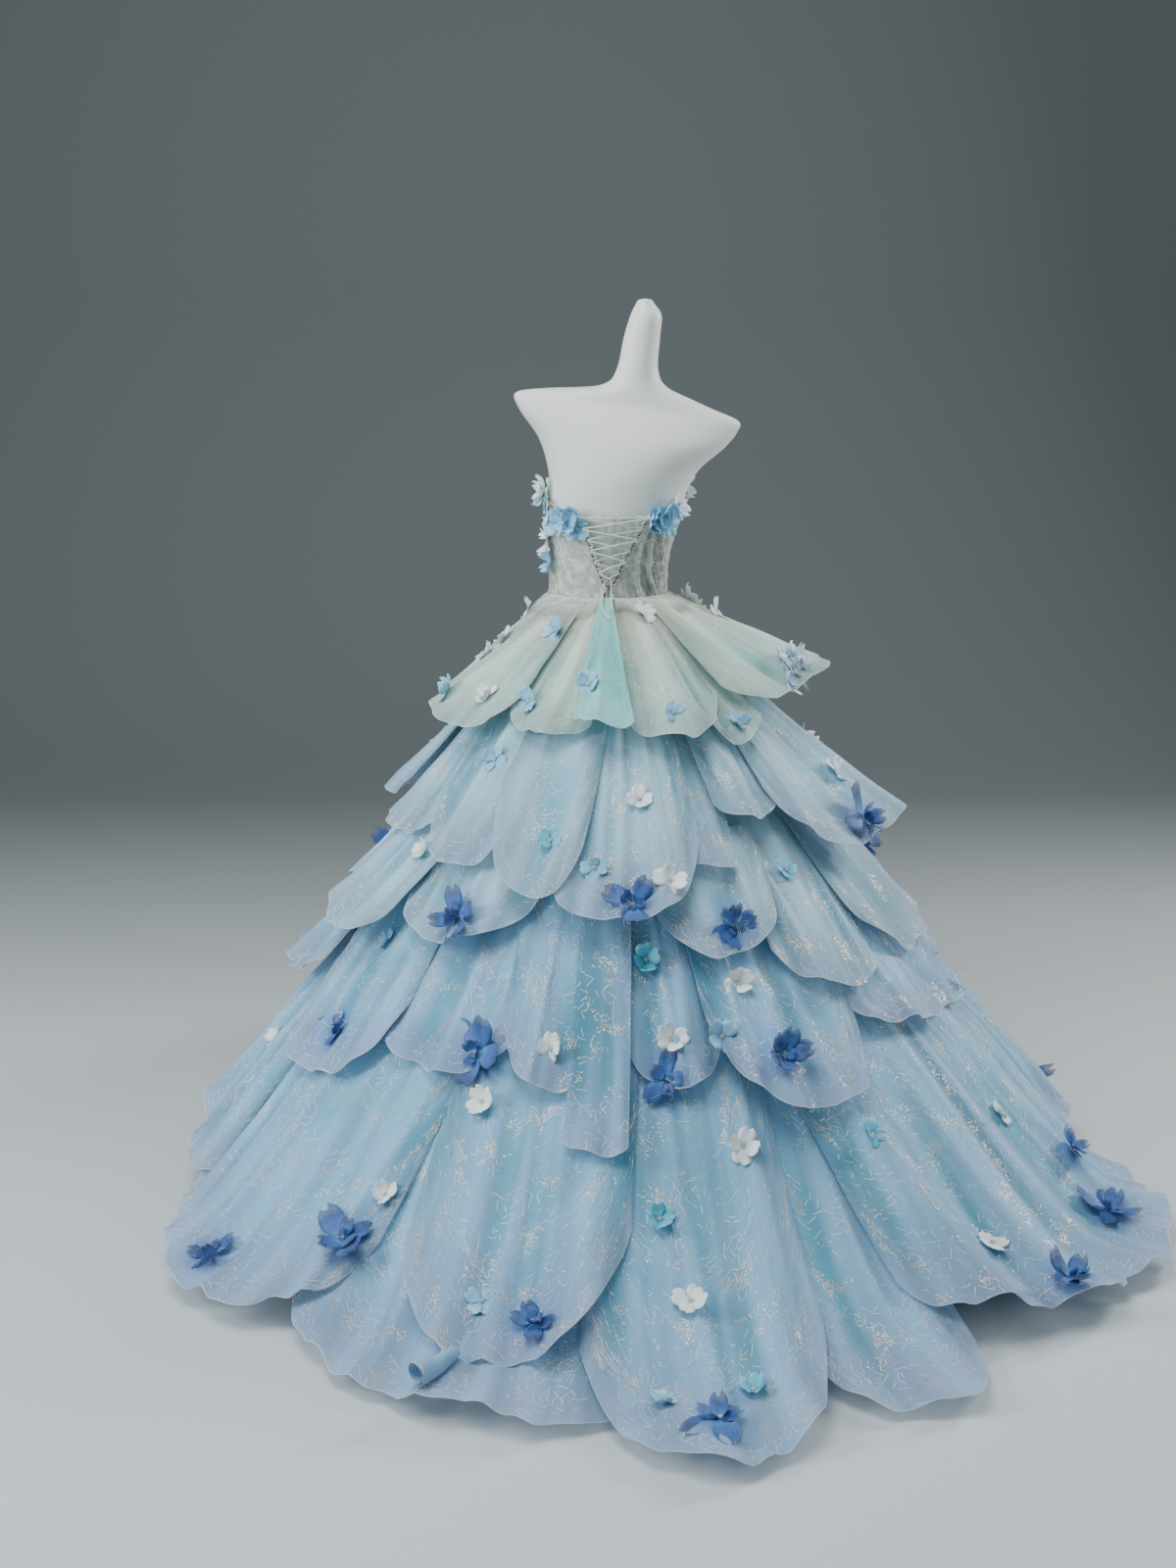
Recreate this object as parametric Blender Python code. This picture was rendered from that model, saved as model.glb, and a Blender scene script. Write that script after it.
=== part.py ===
"""Strapless ball gown with a petal skirt and a train, on a limbless dress form.

Frame: metres, +Z up, origin on the floor at the middle of the base plate's underside.
The wearer faces +Y, the laced back and the train point to -Y, +X is the wearer's right.
An angle on the body or skirt is measured from the centre back (-Y) towards +X.
Down the skirt, t is 0 at the waist seam, 1 where the cloth reaches the floor, more on the train.
"""
import math

import bpy
import numpy as np

for old in list(bpy.data.objects):
    bpy.data.objects.remove(old, do_unlink=True)

# Named sizes
WAIST_Z = 1.055
WAIST_SHIFT = -0.012
WAIST_A = 0.113
WAIST_B = 0.092
FLOOR_SOFT = 0.055
CLOTH = 0.0015
SEAM = 0.0004
LAYER = 0.012
FOLD_DEPTH = 1.9
UNDER_LIFT = -0.010

# Colours
SAGE = (0.62, 0.72, 0.68, 1.0)
AQUA = (0.42, 0.72, 0.74, 1.0)
POWDER = (0.50, 0.66, 0.80, 1.0)
PALE_BLUE = (0.58, 0.72, 0.85, 1.0)
LACE = (0.66, 0.70, 0.66, 1.0)
FORM_WHITE = (0.86, 0.88, 0.87, 1.0)
STAND_WHITE = (0.75, 0.76, 0.76, 1.0)

# The dress form: rings from the hips to the neck cap
# z, centre x, half width, half depth to the front, half depth to the back, sideways tilt
FORM_RINGS = (
    (0.780, -0.012, 0.110, 0.076, 0.080, 0.000),
    (0.800, -0.012, 0.134, 0.094, 0.098, 0.000),
    (0.870, -0.012, 0.142, 0.104, 0.112, 0.000),
    (0.950, -0.012, 0.130, 0.098, 0.105, 0.000),
    (1.030, -0.012, 0.107, 0.084, 0.084, 0.000),
    (1.080, -0.012, 0.103, 0.082, 0.079, 0.000),
    (1.140, -0.010, 0.105, 0.090, 0.082, 0.000),
    (1.200, -0.003, 0.116, 0.112, 0.088, 0.000),
    (1.245, 0.004, 0.126, 0.132, 0.093, 0.000),
    (1.294, 0.015, 0.139, 0.118, 0.095, -0.010),
    (1.345, 0.030, 0.172, 0.092, 0.084, -0.060),
    (1.388, 0.024, 0.203, 0.068, 0.060, -0.110),
    (1.412, 0.023, 0.203, 0.050, 0.044, -0.128),
    (1.428, 0.028, 0.140, 0.046, 0.040, -0.120),
    (1.446, 0.037, 0.064, 0.043, 0.038, -0.060),
    (1.472, 0.040, 0.040, 0.040, 0.036, 0.000),
    (1.537, 0.049, 0.033, 0.036, 0.033, 0.000),
    (1.576, 0.056, 0.028, 0.031, 0.029, 0.000),
    (1.598, 0.054, 0.015, 0.018, 0.017, 0.000),
)

# The stand, turned about the form's axis: radius, z
STAND_PROFILE = (
    (0.190, 0.000),
    (0.190, 0.008),
    (0.180, 0.014),
    (0.040, 0.018),
    (0.024, 0.030),
    (0.016, 0.060),
    (0.016, 0.7796),
)

# The rows of petals: t at the top, nominal hem t, lift at the top, flare at the hem, exponent of the flare
ROWS = {
    1: (0.004, 0.205, 0.010, 0.036, 1.1),
    2: (0.110, 0.430, 0.007, 0.040, 1.1),
    3: (0.290, 0.560, 0.007, 0.040, 1.1),
    4: (0.450, 0.720, 0.008, 0.038, 1.1),
    5: (0.610, 1.000, 0.005, 0.034, 1.2),
}

# Where a row stands further off the skirt: row, angle, spread in degrees, extra flare
FLARES = (
    (1, 82.0, 28.0, 0.080),
    (1, -82.0, 30.0, 0.028),
    (2, 74.0, 18.0, 0.062),
    (2, 8.0, 18.0, 0.012),
    (2, -72.0, 18.0, 0.012),
    (3, -62.0, 22.0, 0.034),
    (3, 22.0, 14.0, 0.012),
    (3, 84.0, 26.0, -0.026),
    (4, 24.0, 14.0, 0.012),
    (4, 80.0, 26.0, -0.026),
    (4, -66.0, 22.0, -0.010),
    (5, 0.0, 60.0, 0.006),
    (5, -88.0, 24.0, -0.018),
)

# One petal a row: name, row, layer, angle left and right at the top, left and right at the hem,
# t at the top, hem t at left, middle and right, corner rounding, folds, fold phase, fold depth
PETALS = (
    ("row1_back_left", 1, 1, -62, -22, -88, -30, 0.004, 0.158, 0.238, 0.200, 0.22, 1.5, 0.3, 0.014),
    ("row1_back_mid_left", 1, 0, -28, 2, -36, -5, 0.004, 0.195, 0.214, 0.214, 0.10, 1.5, 0.9, 0.014),
    ("row1_back_strip", 1, 3, -8, 3, -9, 6, 0.004, 0.206, 0.210, 0.212, 0.05, 0.5, 0.0, 0.010),
    ("row1_back_mid_right", 1, 1, 1, 36, 3, 37, 0.004, 0.208, 0.224, 0.184, 0.12, 1.5, 0.2, 0.016),
    ("row1_back_drop", 1, 0, 24, 52, 28, 52, 0.010, 0.205, 0.244, 0.190, 0.30, 0.5, 0.5, 0.008),
    ("row1_back_right", 1, 2, 33, 92, 38, 100, 0.004, 0.185, 0.210, 0.175, 0.16, 1.5, 0.6, 0.018),
    ("row1_front_right", 1, 0, 86, 150, 92, 148, 0.004, 0.190, 0.225, 0.195, 0.22, 1.5, 0.4, 0.014),
    ("row1_front", 1, 1, 140, 220, 140, 216, 0.004, 0.190, 0.220, 0.190, 0.20, 2.5, 0.3, 0.014),
    ("row1_front_left", 1, 0, 210, 302, 208, 278, 0.004, 0.190, 0.228, 0.170, 0.22, 1.5, 0.7, 0.014),
    ("row2_left", 2, 0, -74, -48, -82, -47, 0.110, 0.375, 0.415, 0.385, 0.12, 1.5, 0.3, 0.012),
    ("row2_back_left", 2, 1, -52, -14, -52, -24, 0.110, 0.375, 0.415, 0.425, 0.16, 1.5, 0.8, 0.016),
    ("row2_centre_lap", 2, 2, -26, 2, -27, -5, 0.110, 0.310, 0.445, 0.405, 0.12, 1.5, 0.4, 0.012),
    ("row2_centre", 2, 1, -10, 20, -13, 17.5, 0.110, 0.450, 0.472, 0.425, 0.26, 1.5, 0.7, 0.014),
    ("row2_back_right", 2, 0, 12, 32, 14, 25, 0.110, 0.395, 0.400, 0.412, 0.03, 0.5, 0.9, 0.010),
    ("row2_lap_right", 2, 1, 22, 50, 23, 43, 0.110, 0.330, 0.345, 0.330, 0.08, 1.5, 0.2, 0.012),
    ("row2_right", 2, 2, 40, 78, 38, 84, 0.110, 0.390, 0.440, 0.410, 0.30, 1.5, 0.5, 0.014),
    ("row2_side_right", 2, 1, 74, 118, 80, 120, 0.110, 0.350, 0.395, 0.400, 0.14, 1.5, 0.1, 0.018),
    ("row2_front_right", 2, 2, 112, 170, 114, 166, 0.110, 0.390, 0.440, 0.395, 0.26, 1.5, 0.6, 0.014),
    ("row2_front_left", 2, 1, 162, 226, 160, 222, 0.110, 0.395, 0.445, 0.395, 0.26, 1.5, 0.2, 0.014),
    ("row2_side_left", 2, 2, 220, 292, 216, 284, 0.110, 0.390, 0.430, 0.370, 0.26, 1.5, 0.8, 0.014),
    ("row3_left", 3, 1, -72, -36, -78, -42, 0.290, 0.500, 0.585, 0.500, 0.28, 1.5, 0.5, 0.012),
    ("row3_back_left", 3, 0, -44, -10, -46, -13, 0.290, 0.520, 0.525, 0.455, 0.20, 1.5, 0.9, 0.014),
    ("row3_back_right", 3, 1, 6, 34, 7, 31, 0.340, 0.480, 0.525, 0.470, 0.26, 1.5, 0.4, 0.012),
    ("row3_lap_right", 3, 0, 28, 58, 26, 50, 0.290, 0.560, 0.600, 0.600, 0.14, 1.5, 0.2, 0.016),
    ("row3_right", 3, 1, 46, 96, 48, 96, 0.290, 0.560, 0.610, 0.560, 0.26, 1.5, 0.7, 0.014),
    ("row3_front_right", 3, 0, 90, 152, 92, 150, 0.290, 0.550, 0.600, 0.550, 0.26, 2.5, 0.3, 0.014),
    ("row3_front", 3, 1, 144, 218, 145, 214, 0.290, 0.550, 0.605, 0.550, 0.26, 2.5, 0.6, 0.014),
    ("row3_front_left", 3, 0, 210, 290, 209, 286, 0.290, 0.540, 0.590, 0.510, 0.26, 2.5, 0.1, 0.014),
    ("row4_left", 4, 1, -70, -34, -68, -35, 0.450, 0.700, 0.775, 0.700, 0.22, 1.5, 0.3, 0.014),
    ("row4_back_left", 4, 0, -40, -8, -40, -14, 0.450, 0.670, 0.700, 0.660, 0.16, 2.5, 0.7, 0.014),
    ("row4_centre_left", 4, 1, -18, 3, -17, -2, 0.380, 0.650, 0.694, 0.690, 0.22, 1.5, 0.2, 0.012),
    ("row4_centre_tail", 4, 2, -6, 4, -6, 1.5, 0.380, 0.780, 0.785, 0.785, 0.03, 0.5, 0.6, 0.010),
    ("row4_centre_right", 4, 0, 1, 17, 1.5, 16, 0.380, 0.670, 0.688, 0.655, 0.16, 1.5, 0.8, 0.010),
    ("row4_back_right", 4, 2, 12, 42, 13, 37, 0.450, 0.665, 0.750, 0.700, 0.28, 1.5, 0.4, 0.014),
    ("row4_right", 4, 1, 38, 92, 34, 90, 0.450, 0.640, 0.700, 0.700, 0.22, 2.5, 0.5, 0.014),
    ("row4_front_right", 4, 0, 86, 152, 87, 149, 0.450, 0.700, 0.760, 0.700, 0.24, 2.5, 0.2, 0.014),
    ("row4_front", 4, 1, 145, 217, 144, 215, 0.450, 0.700, 0.765, 0.700, 0.24, 2.5, 0.5, 0.014),
    ("row4_front_left", 4, 2, 210, 292, 210, 290, 0.450, 0.700, 0.760, 0.690, 0.24, 2.5, 0.8, 0.014),
    ("row5_side_left", 5, 2, -92, -58, -98, -57, 0.610, 0.975, 1.010, 0.985, 0.08, 1.5, 0.4, 0.014),
    ("row5_left", 5, 1, -64, -20, -62, -25, 0.610, 0.985, 1.066, 0.960, 0.12, 2.5, 0.3, 0.016),
    ("row5_back_left_under", 5, 0, -34, -2, -34, 1, 0.610, 1.010, 1.078, 1.075, 0.07, 1.5, 0.7, 0.012),
    ("row5_back_left", 5, 2, -23, 4, -22, 1.5, 0.610, 0.950, 1.030, 0.900, 0.10, 1.5, 0.5, 0.016),
    ("row5_centre", 5, 1, -3, 21, -3.5, 18, 0.610, 1.050, 1.135, 1.030, 0.13, 2.5, 0.2, 0.014),
    ("row5_back_right_under", 5, 0, 14, 36, 15, 31, 0.610, 1.020, 1.095, 1.060, 0.09, 1.5, 0.6, 0.014),
    ("row5_back_right", 5, 2, 22, 52, 26, 49, 0.610, 0.985, 1.045, 1.110, 0.08, 2.5, 0.4, 0.018),
    ("row5_right", 5, 1, 46, 78, 46, 76, 0.610, 1.080, 1.110, 1.030, 0.10, 1.5, 0.8, 0.014),
    ("row5_side_right", 5, 0, 72, 112, 73, 110, 0.610, 1.000, 1.020, 1.000, 0.08, 1.5, 0.3, 0.014),
    ("row5_front_right", 5, 1, 106, 184, 106, 182, 0.610, 1.000, 1.015, 1.000, 0.06, 2.5, 0.6, 0.014),
    ("row5_front_left", 5, 0, 176, 270, 177, 266, 0.610, 1.000, 1.015, 0.995, 0.06, 3.5, 0.2, 0.014),
)

# The underskirt's gores: name, left and right angle
GORES = (
    ("underskirt_back", -90, 90),
    ("underskirt_front", 90, 270),
)

# The bodice: name, angle left and right ("lace" is the edge of the laced opening), distance off the form
BODICE = (
    ("bodice_back_left", -58.0, "lace", 0.0075),
    ("bodice_back_right", "lace", 58.0, 0.0075),
    ("bodice_side_right", 58.0, 120.0, 0.0075),
    ("bodice_front", 120.0, 240.0, 0.0075),
    ("bodice_side_left", 240.0, 302.0, 0.0075),
)
BODICE_Z = 1.058
BODICE_THICK = 0.0022
BODICE_BACK_TOP = 1.222
LACE_APEX_Z = 1.090
LACE_ROWS = 6
LACE_R = 0.0013
LACE_END_LIFT = 0.042


def smooth(x, lo, hi):
    """A soft step from 0 at lo to 1 at hi."""
    s = np.clip((np.asarray(x, float) - lo) / (hi - lo), 0.0, 1.0)
    return s * s * (3.0 - 2.0 * s)


def skirt_point(deg, t):
    """A point of the skirt's own surface: a waist oval that swells to the floor oval and runs out as a train."""
    th = np.radians(np.asarray(deg, float))
    t = np.asarray(t, float)
    side = np.sin(th)
    back = np.clip(np.cos(th), 0.0, None)
    front = np.clip(-np.cos(th), 0.0, None)
    waist = WAIST_A * WAIST_B / np.sqrt((WAIST_B * np.sin(th)) ** 2 + (WAIST_A * np.cos(th)) ** 2)
    floor_r = 0.785 + 0.070 * back ** 1.5 - 0.060 * front ** 2 + 0.052 * side
    swell = 0.78 + 0.25 * side ** 2 - 0.03 * side * np.abs(side) + 0.09 * front ** 2
    train = 0.08 + 1.16 * smooth(np.cos(th), -0.1, 1.0)
    out = 0.06 * np.logaddexp(0.0, (t - 0.87) / 0.06)
    r = waist + (floor_r - waist) * np.clip(t, 1e-6, None) ** swell + train * out
    drop = WAIST_Z * (1.0 - t)
    z = 0.5 * (drop + np.sqrt(drop ** 2 + FLOOR_SOFT ** 2))
    shift = WAIST_SHIFT * np.clip(1.0 - t, 0.0, 1.0)
    return np.stack([shift + r * np.sin(th), -r * np.cos(th), z], -1)


def lifted(deg, t, lift):
    """The skirt's surface moved out along its own normal."""
    e = 1e-3
    p = skirt_point(deg, t)
    across = skirt_point(deg + e, t) - p
    down = skirt_point(deg, t + e) - p
    n = np.cross(across, -down)
    n = n / np.linalg.norm(n, axis=-1, keepdims=True)
    return p + n * np.asarray(lift)[..., None]


def row_flare(row, deg, t):
    """How far a row stands off the skirt at an angle and a depth."""
    t_top, hem, _, flare, power = ROWS[row]
    total = np.full(np.shape(deg), flare)
    for at_row, centre, spread, extra in FLARES:
        if at_row == row:
            away = (np.asarray(deg) - centre + 180.0) % 360.0 - 180.0
            total = total + extra * np.exp(-(away / spread) ** 2)
    depth = np.clip((t - t_top) / (hem - t_top), 0.0, 1.6)
    rise = depth ** power
    if row == 5:
        rise = np.sin(np.pi * np.clip(depth / 1.15, 0.0, 1.0)) ** 1.2
    return total * rise


def petal_surface(row, layer, top_l, top_r, hem_l, hem_r, t_top, t_l, t_m, t_r, corner, folds, phase, depth, u, v):
    """A petal: u runs -1 to 1 across, v runs 0 to 1 down; its hem is a rounded curve through three depths."""
    across = 0.5 + 0.5 * u
    top = top_l + (top_r - top_l) * across
    hem = hem_l + (hem_r - hem_l) * across
    deg = top + (hem - top) * v ** 0.8
    bow = t_m + 0.5 * (t_r - t_l) * u + (0.5 * (t_l + t_r) - t_m) * u * u
    reach = (bow - t_top) * (1.0 - corner * np.abs(u) ** 5)
    t = t_top + reach * v
    wave = 0.5 + 0.5 * np.cos(math.pi * (folds * u + 2.0 * phase))
    own = FOLD_DEPTH * depth * v ** 1.2 * (1.0 - u * u) ** 1.5 * wave
    lift = ROWS[row][2] + layer * LAYER * (0.4 + 0.6 * v) + row_flare(row, deg, t) + own
    return lifted(deg, t, lift)


def grid_normals(p):
    """Unit normals of a grid of points, from its differences each way."""
    a = np.gradient(p, axis=0)
    b = np.gradient(p, axis=1)
    n = np.cross(a, b)
    return n / np.linalg.norm(n, axis=-1, keepdims=True)


def add_mesh(name, verts, faces, colour, rough, metal=0.0):
    """One named solid with its own material."""
    mesh = bpy.data.meshes.new(name)
    mesh.from_pydata([tuple(map(float, v)) for v in verts], [], faces)
    mesh.update()
    obj = bpy.data.objects.new(name, mesh)
    bpy.context.scene.collection.objects.link(obj)
    mat = bpy.data.materials.new(name)
    mat.use_nodes = True
    shader = mat.node_tree.nodes["Principled BSDF"]
    shader.inputs["Base Color"].default_value = colour
    shader.inputs["Roughness"].default_value = rough
    shader.inputs["Metallic"].default_value = metal
    mesh.materials.append(mat)
    return obj


def add_wall(name, p, thick, colour, rough=0.7):
    """A closed wall of even thickness on a grid of points: two skins and a rim."""
    n = grid_normals(p)
    outer = p + n * thick / 2
    inner = p - n * thick / 2
    nu, nv = p.shape[0], p.shape[1]
    verts = np.concatenate([outer.reshape(-1, 3), inner.reshape(-1, 3)])
    back = nu * nv
    idx = np.arange(nu * nv).reshape(nu, nv)
    faces = []
    for i in range(nu - 1):
        for j in range(nv - 1):
            a, b, c, d = idx[i, j], idx[i + 1, j], idx[i + 1, j + 1], idx[i, j + 1]
            for tri in ((a, b, c), (a, c, d)):
                faces.append(tuple(int(k) for k in tri))
                faces.append(tuple(int(k + back) for k in reversed(tri)))
    rim = list(idx[:, 0]) + list(idx[-1, 1:]) + list(idx[-2::-1, -1]) + list(idx[0, -2:0:-1])
    for k, a in enumerate(rim):
        b = rim[(k + 1) % len(rim)]
        faces.append((int(b), int(a), int(a + back), int(b + back)))
    return add_mesh(name, verts, faces, colour, rough)


def add_rings(name, rings, colour, rough, metal=0.0):
    """A closed solid lofted through rings of points, with flat ends."""
    count = len(rings[0])
    verts = [pt for ring in rings for pt in ring]
    faces = []
    for k in range(len(rings) - 1):
        for i in range(count):
            j = (i + 1) % count
            faces.append((k * count + i, k * count + j, (k + 1) * count + j, (k + 1) * count + i))
    faces.append(tuple(reversed(range(count))))
    faces.append(tuple((len(rings) - 1) * count + i for i in range(count)))
    return add_mesh(name, verts, faces, colour, rough, metal)


def form_ring(z):
    """The form's section at a height, taken from the table of rings by a smooth curve."""
    table = np.array(FORM_RINGS)
    k = int(np.clip(np.searchsorted(table[:, 0], z) - 1, 0, len(table) - 2))
    p0 = table[max(k - 1, 0)]
    p1 = table[k]
    p2 = table[k + 1]
    p3 = table[min(k + 2, len(table) - 1)]
    h = p2[0] - p1[0]
    s = (z - p1[0]) / h
    m1 = (p2 - p0) / (p2[0] - p0[0]) * h
    m2 = (p3 - p1) / (p3[0] - p1[0]) * h
    return (
        (2 * s ** 3 - 3 * s ** 2 + 1) * p1
        + (s ** 3 - 2 * s ** 2 + s) * m1
        + (-2 * s ** 3 + 3 * s ** 2) * p2
        + (s ** 3 - s ** 2) * m2
    )


def body_point(deg, z, out):
    """A point on the form at an angle and height, moved out by a distance."""
    ring = form_ring(z)
    th = math.radians(deg)
    x = (ring[2] + out) * math.sin(th)
    half = ring[4] if math.cos(th) > 0 else ring[3]
    y = -(half + out) * math.cos(th)
    return np.array([ring[1] + x, y, z + ring[5] * x])


def lace_edge(z):
    """Half angle of the laced opening at the back: open at the top, closed at the apex."""
    return 1.6 + 27.0 * float(np.clip((z - LACE_APEX_Z) / (BODICE_BACK_TOP - LACE_APEX_Z), 0.0, 1.0)) ** 0.9


def bodice_top(deg):
    """Height of the top edge: low across the back, a little higher at the sides, a sweetheart in front."""
    d = abs((deg + 180.0) % 360.0 - 180.0)
    rise = 0.020 * smooth(d, 35.0, 85.0) + 0.068 * smooth(d, 88.0, 142.0) - 0.034 * smooth(d, 150.0, 180.0)
    return BODICE_BACK_TOP + float(rise)


def bodice_grid(left, right, out, cols, rows):
    """A bodice panel: columns from seam to seam, rows from the waist to the top edge."""
    pts = np.zeros((cols + 1, rows + 1, 3))
    seam_deg = math.degrees(SEAM / 0.12)
    for i in range(cols + 1):
        for j in range(rows + 1):
            f = i / cols
            v = j / rows
            z_mid = BODICE_Z + (BODICE_BACK_TOP - BODICE_Z) * v
            a = lace_edge(z_mid) if left == "lace" else left + seam_deg
            b = -lace_edge(z_mid) if right == "lace" else right - seam_deg
            deg = a + (b - a) * f
            z = BODICE_Z + (bodice_top(deg) - BODICE_Z) * v
            pts[i, j] = body_point(deg, z, out)
    return pts


def tube_rings(path, radius, sides):
    """Rings of points round a path, carried along it without twist."""
    path = np.array(path)
    tangent = np.gradient(path, axis=0)
    tangent = tangent / np.linalg.norm(tangent, axis=1, keepdims=True)
    side = np.cross(tangent[0], (0.0, 1.0, 0.0))
    side = side / np.linalg.norm(side)
    rings = []
    for p, t in zip(path, tangent):
        side = side - t * np.dot(side, t)
        side = side / np.linalg.norm(side)
        up = np.cross(t, side)
        angles = [2 * math.pi * k / sides for k in range(sides)]
        rings.append([p + radius * (math.cos(a) * side + math.sin(a) * up) for a in angles])
    return rings


def lace_path():
    """The lace: up the back in a zigzag, over the top and down again, with both ends hanging at the waist."""
    path = []
    levels = np.linspace(LACE_APEX_Z + 0.004, BODICE_BACK_TOP - 0.006, LACE_ROWS + 1)
    strands = []
    for k in range(LACE_ROWS):
        strands.append((levels[k], levels[k + 1], -1 if k % 2 == 0 else 1, 0.0135))
    top_side = strands[-1][2]
    strands.append((levels[-1], levels[-1] + 0.001, -top_side, 0.0150))
    for k in reversed(range(LACE_ROWS)):
        strands.append((levels[k + 1], levels[k], -1 if k % 2 == 0 else 1, 0.0175))
    for deg, t in ((0.6, 0.040), (-2.4, 0.034), (-4.6, 0.022), (-5.2, 0.011)):
        path.append(lifted(deg, t, np.array(LACE_END_LIFT)))
    path.append(body_point(-3.0, 1.084, 0.0150))
    for z0, z1, start, out in strands:
        for f in (0.0, 0.33, 0.67):
            z = z0 + (z1 - z0) * f
            edge = lace_edge(z) + 1.4
            path.append(body_point(start * edge * (1.0 - 2.0 * f), z, out))
    path.append(body_point(2.6, 1.074, 0.0180))
    for deg, t in ((2.4, 0.012), (1.8, 0.020), (1.4, 0.030)):
        path.append(lifted(deg, t, np.array(LACE_END_LIFT + 0.004)))
    return path


def build_form():
    """The limbless form and the stand it turns on."""
    sides = 32
    heights = [0.780, 0.786, 0.800, 0.835, 0.870, 0.910, 0.950, 0.990, 1.030, 1.055, 1.080, 1.110, 1.140]
    heights += [1.170, 1.200, 1.222, 1.245, 1.270, 1.294, 1.320, 1.345, 1.368, 1.388, 1.400, 1.412, 1.420]
    heights += [1.428, 1.437, 1.446, 1.458, 1.472, 1.500, 1.537, 1.560, 1.576, 1.588, 1.598]
    rings = []
    for z in heights:
        rings.append([body_point(360.0 * k / sides, z, 0.0) for k in range(sides)])
    ring = form_ring(1.598)
    for scale, rise in ((0.66, 0.004), (0.30, 0.0062)):
        rings.append([
            np.array([
                ring[1] + scale * ring[2] * math.sin(2 * math.pi * k / sides),
                -scale * 0.5 * (ring[3] + ring[4]) * math.cos(2 * math.pi * k / sides),
                1.598 + rise,
            ])
            for k in range(sides)
        ])
    add_rings("form_body", rings, FORM_WHITE, 0.45)
    sides = 40
    stand = []
    for r, z in STAND_PROFILE:
        stand.append([
            (r * math.sin(2 * math.pi * k / sides), -r * math.cos(2 * math.pi * k / sides), z)
            for k in range(sides)
        ])
    add_rings("form_stand", stand, STAND_WHITE, 0.35)


def build_bodice():
    """Five boned panels, the modesty panel behind the lacing, and the lace."""
    for name, left, right, out in BODICE:
        span = 60.0 if "lace" in (left, right) else right - left
        cols = max(6, int(round(span / 10.0)))
        add_wall(name, bodice_grid(left, right, out, cols, 5), BODICE_THICK, LACE)
    pts = np.zeros((9, 6, 3))
    for i in range(9):
        for j in range(6):
            z = BODICE_Z + 0.004 + (BODICE_BACK_TOP - 0.002 - BODICE_Z - 0.004) * j / 5
            pts[i, j] = body_point(-36.0 + 72.0 * i / 8, z, 0.0040)
    add_wall("bodice_modesty_panel", pts, 0.0014, SAGE)
    add_rings("back_lace", tube_rings(lace_path(), LACE_R, 6), LACE, 0.6)


def build_skirt():
    """The underskirt's gores, then every petal of the five rows."""
    for name, left, right in GORES:
        u = np.linspace(0.0, 1.0, 17)[:, None]
        v = np.linspace(0.0, 1.0, 8)[None, :] ** 1.4
        gap = 0.08
        deg = (left + gap) + (right - left - 2 * gap) * u + 0.0 * v
        t = 0.020 + (0.960 - 0.020) * v + 0.0 * u
        p = lifted(deg, t, UNDER_LIFT * (0.4 + 0.6 * smooth(t, 0.0, 0.12)))
        add_wall(name, p[:, ::-1], CLOTH, AQUA)
    for petal in PETALS:
        name, row = petal[0], petal[1]
        span = max(petal[4] - petal[3], petal[6] - petal[5])
        cols = int(np.clip(round(span / 6.0), 4, 8))
        rows = 8 if row == 5 else 4
        power = {1: 1.5, 5: 0.8}.get(row, 1.0)
        s = np.linspace(-1.0, 1.0, cols + 1)[:, None]
        u = 0.5 * s + 0.5 * np.sin(0.5 * math.pi * s)
        v = np.linspace(0.0, 1.0, rows + 1)[None, :] ** power
        u, v = np.broadcast_arrays(u, v)
        p = petal_surface(*petal[1:], u, v)
        colour = {1: SAGE, 2: PALE_BLUE, 3: PALE_BLUE, 4: POWDER, 5: POWDER}[row]
        if name == "row1_back_strip":
            colour = AQUA
        add_wall(name, p[:, ::-1], CLOTH, colour)


build_form()
build_bodice()
build_skirt()
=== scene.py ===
"""The looks of a strapless ball gown with a petal skirt and a train, on a limbless dress form.

Metres, +Z up. The wearer faces +Y, the laced back and the train point to -Y, +X is the wearer's right.
An angle on the body or skirt is measured from the centre back (-Y) towards +X.
Down the skirt, t is 0 at the waist seam, 1 where the cloth reaches the floor, more on the train.
On a petal, u runs -1 to 1 across and v runs 0 to 1 from its seam down to its hem.
"""
import math

import bpy
import numpy as np
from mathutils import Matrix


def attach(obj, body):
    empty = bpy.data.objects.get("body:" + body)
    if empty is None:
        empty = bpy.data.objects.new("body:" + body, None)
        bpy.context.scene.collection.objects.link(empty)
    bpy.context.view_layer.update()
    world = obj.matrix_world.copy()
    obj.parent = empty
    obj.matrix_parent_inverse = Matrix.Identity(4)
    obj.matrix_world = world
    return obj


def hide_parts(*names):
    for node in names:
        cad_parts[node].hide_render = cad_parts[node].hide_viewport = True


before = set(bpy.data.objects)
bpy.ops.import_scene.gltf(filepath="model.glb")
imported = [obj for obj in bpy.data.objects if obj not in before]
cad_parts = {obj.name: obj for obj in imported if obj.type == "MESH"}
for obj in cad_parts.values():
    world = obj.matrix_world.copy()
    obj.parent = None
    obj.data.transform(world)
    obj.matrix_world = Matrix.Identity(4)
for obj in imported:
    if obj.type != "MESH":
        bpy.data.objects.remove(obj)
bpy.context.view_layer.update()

# Sizes of the waist, the floor's soft bend and the layers of cloth
WAIST_Z = 1.055
WAIST_SHIFT = -0.012
WAIST_A = 0.113
WAIST_B = 0.092
FLOOR_SOFT = 0.055
LAYER = 0.012
FOLD_DEPTH = 1.9
UNDER_LIFT = -0.010

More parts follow.
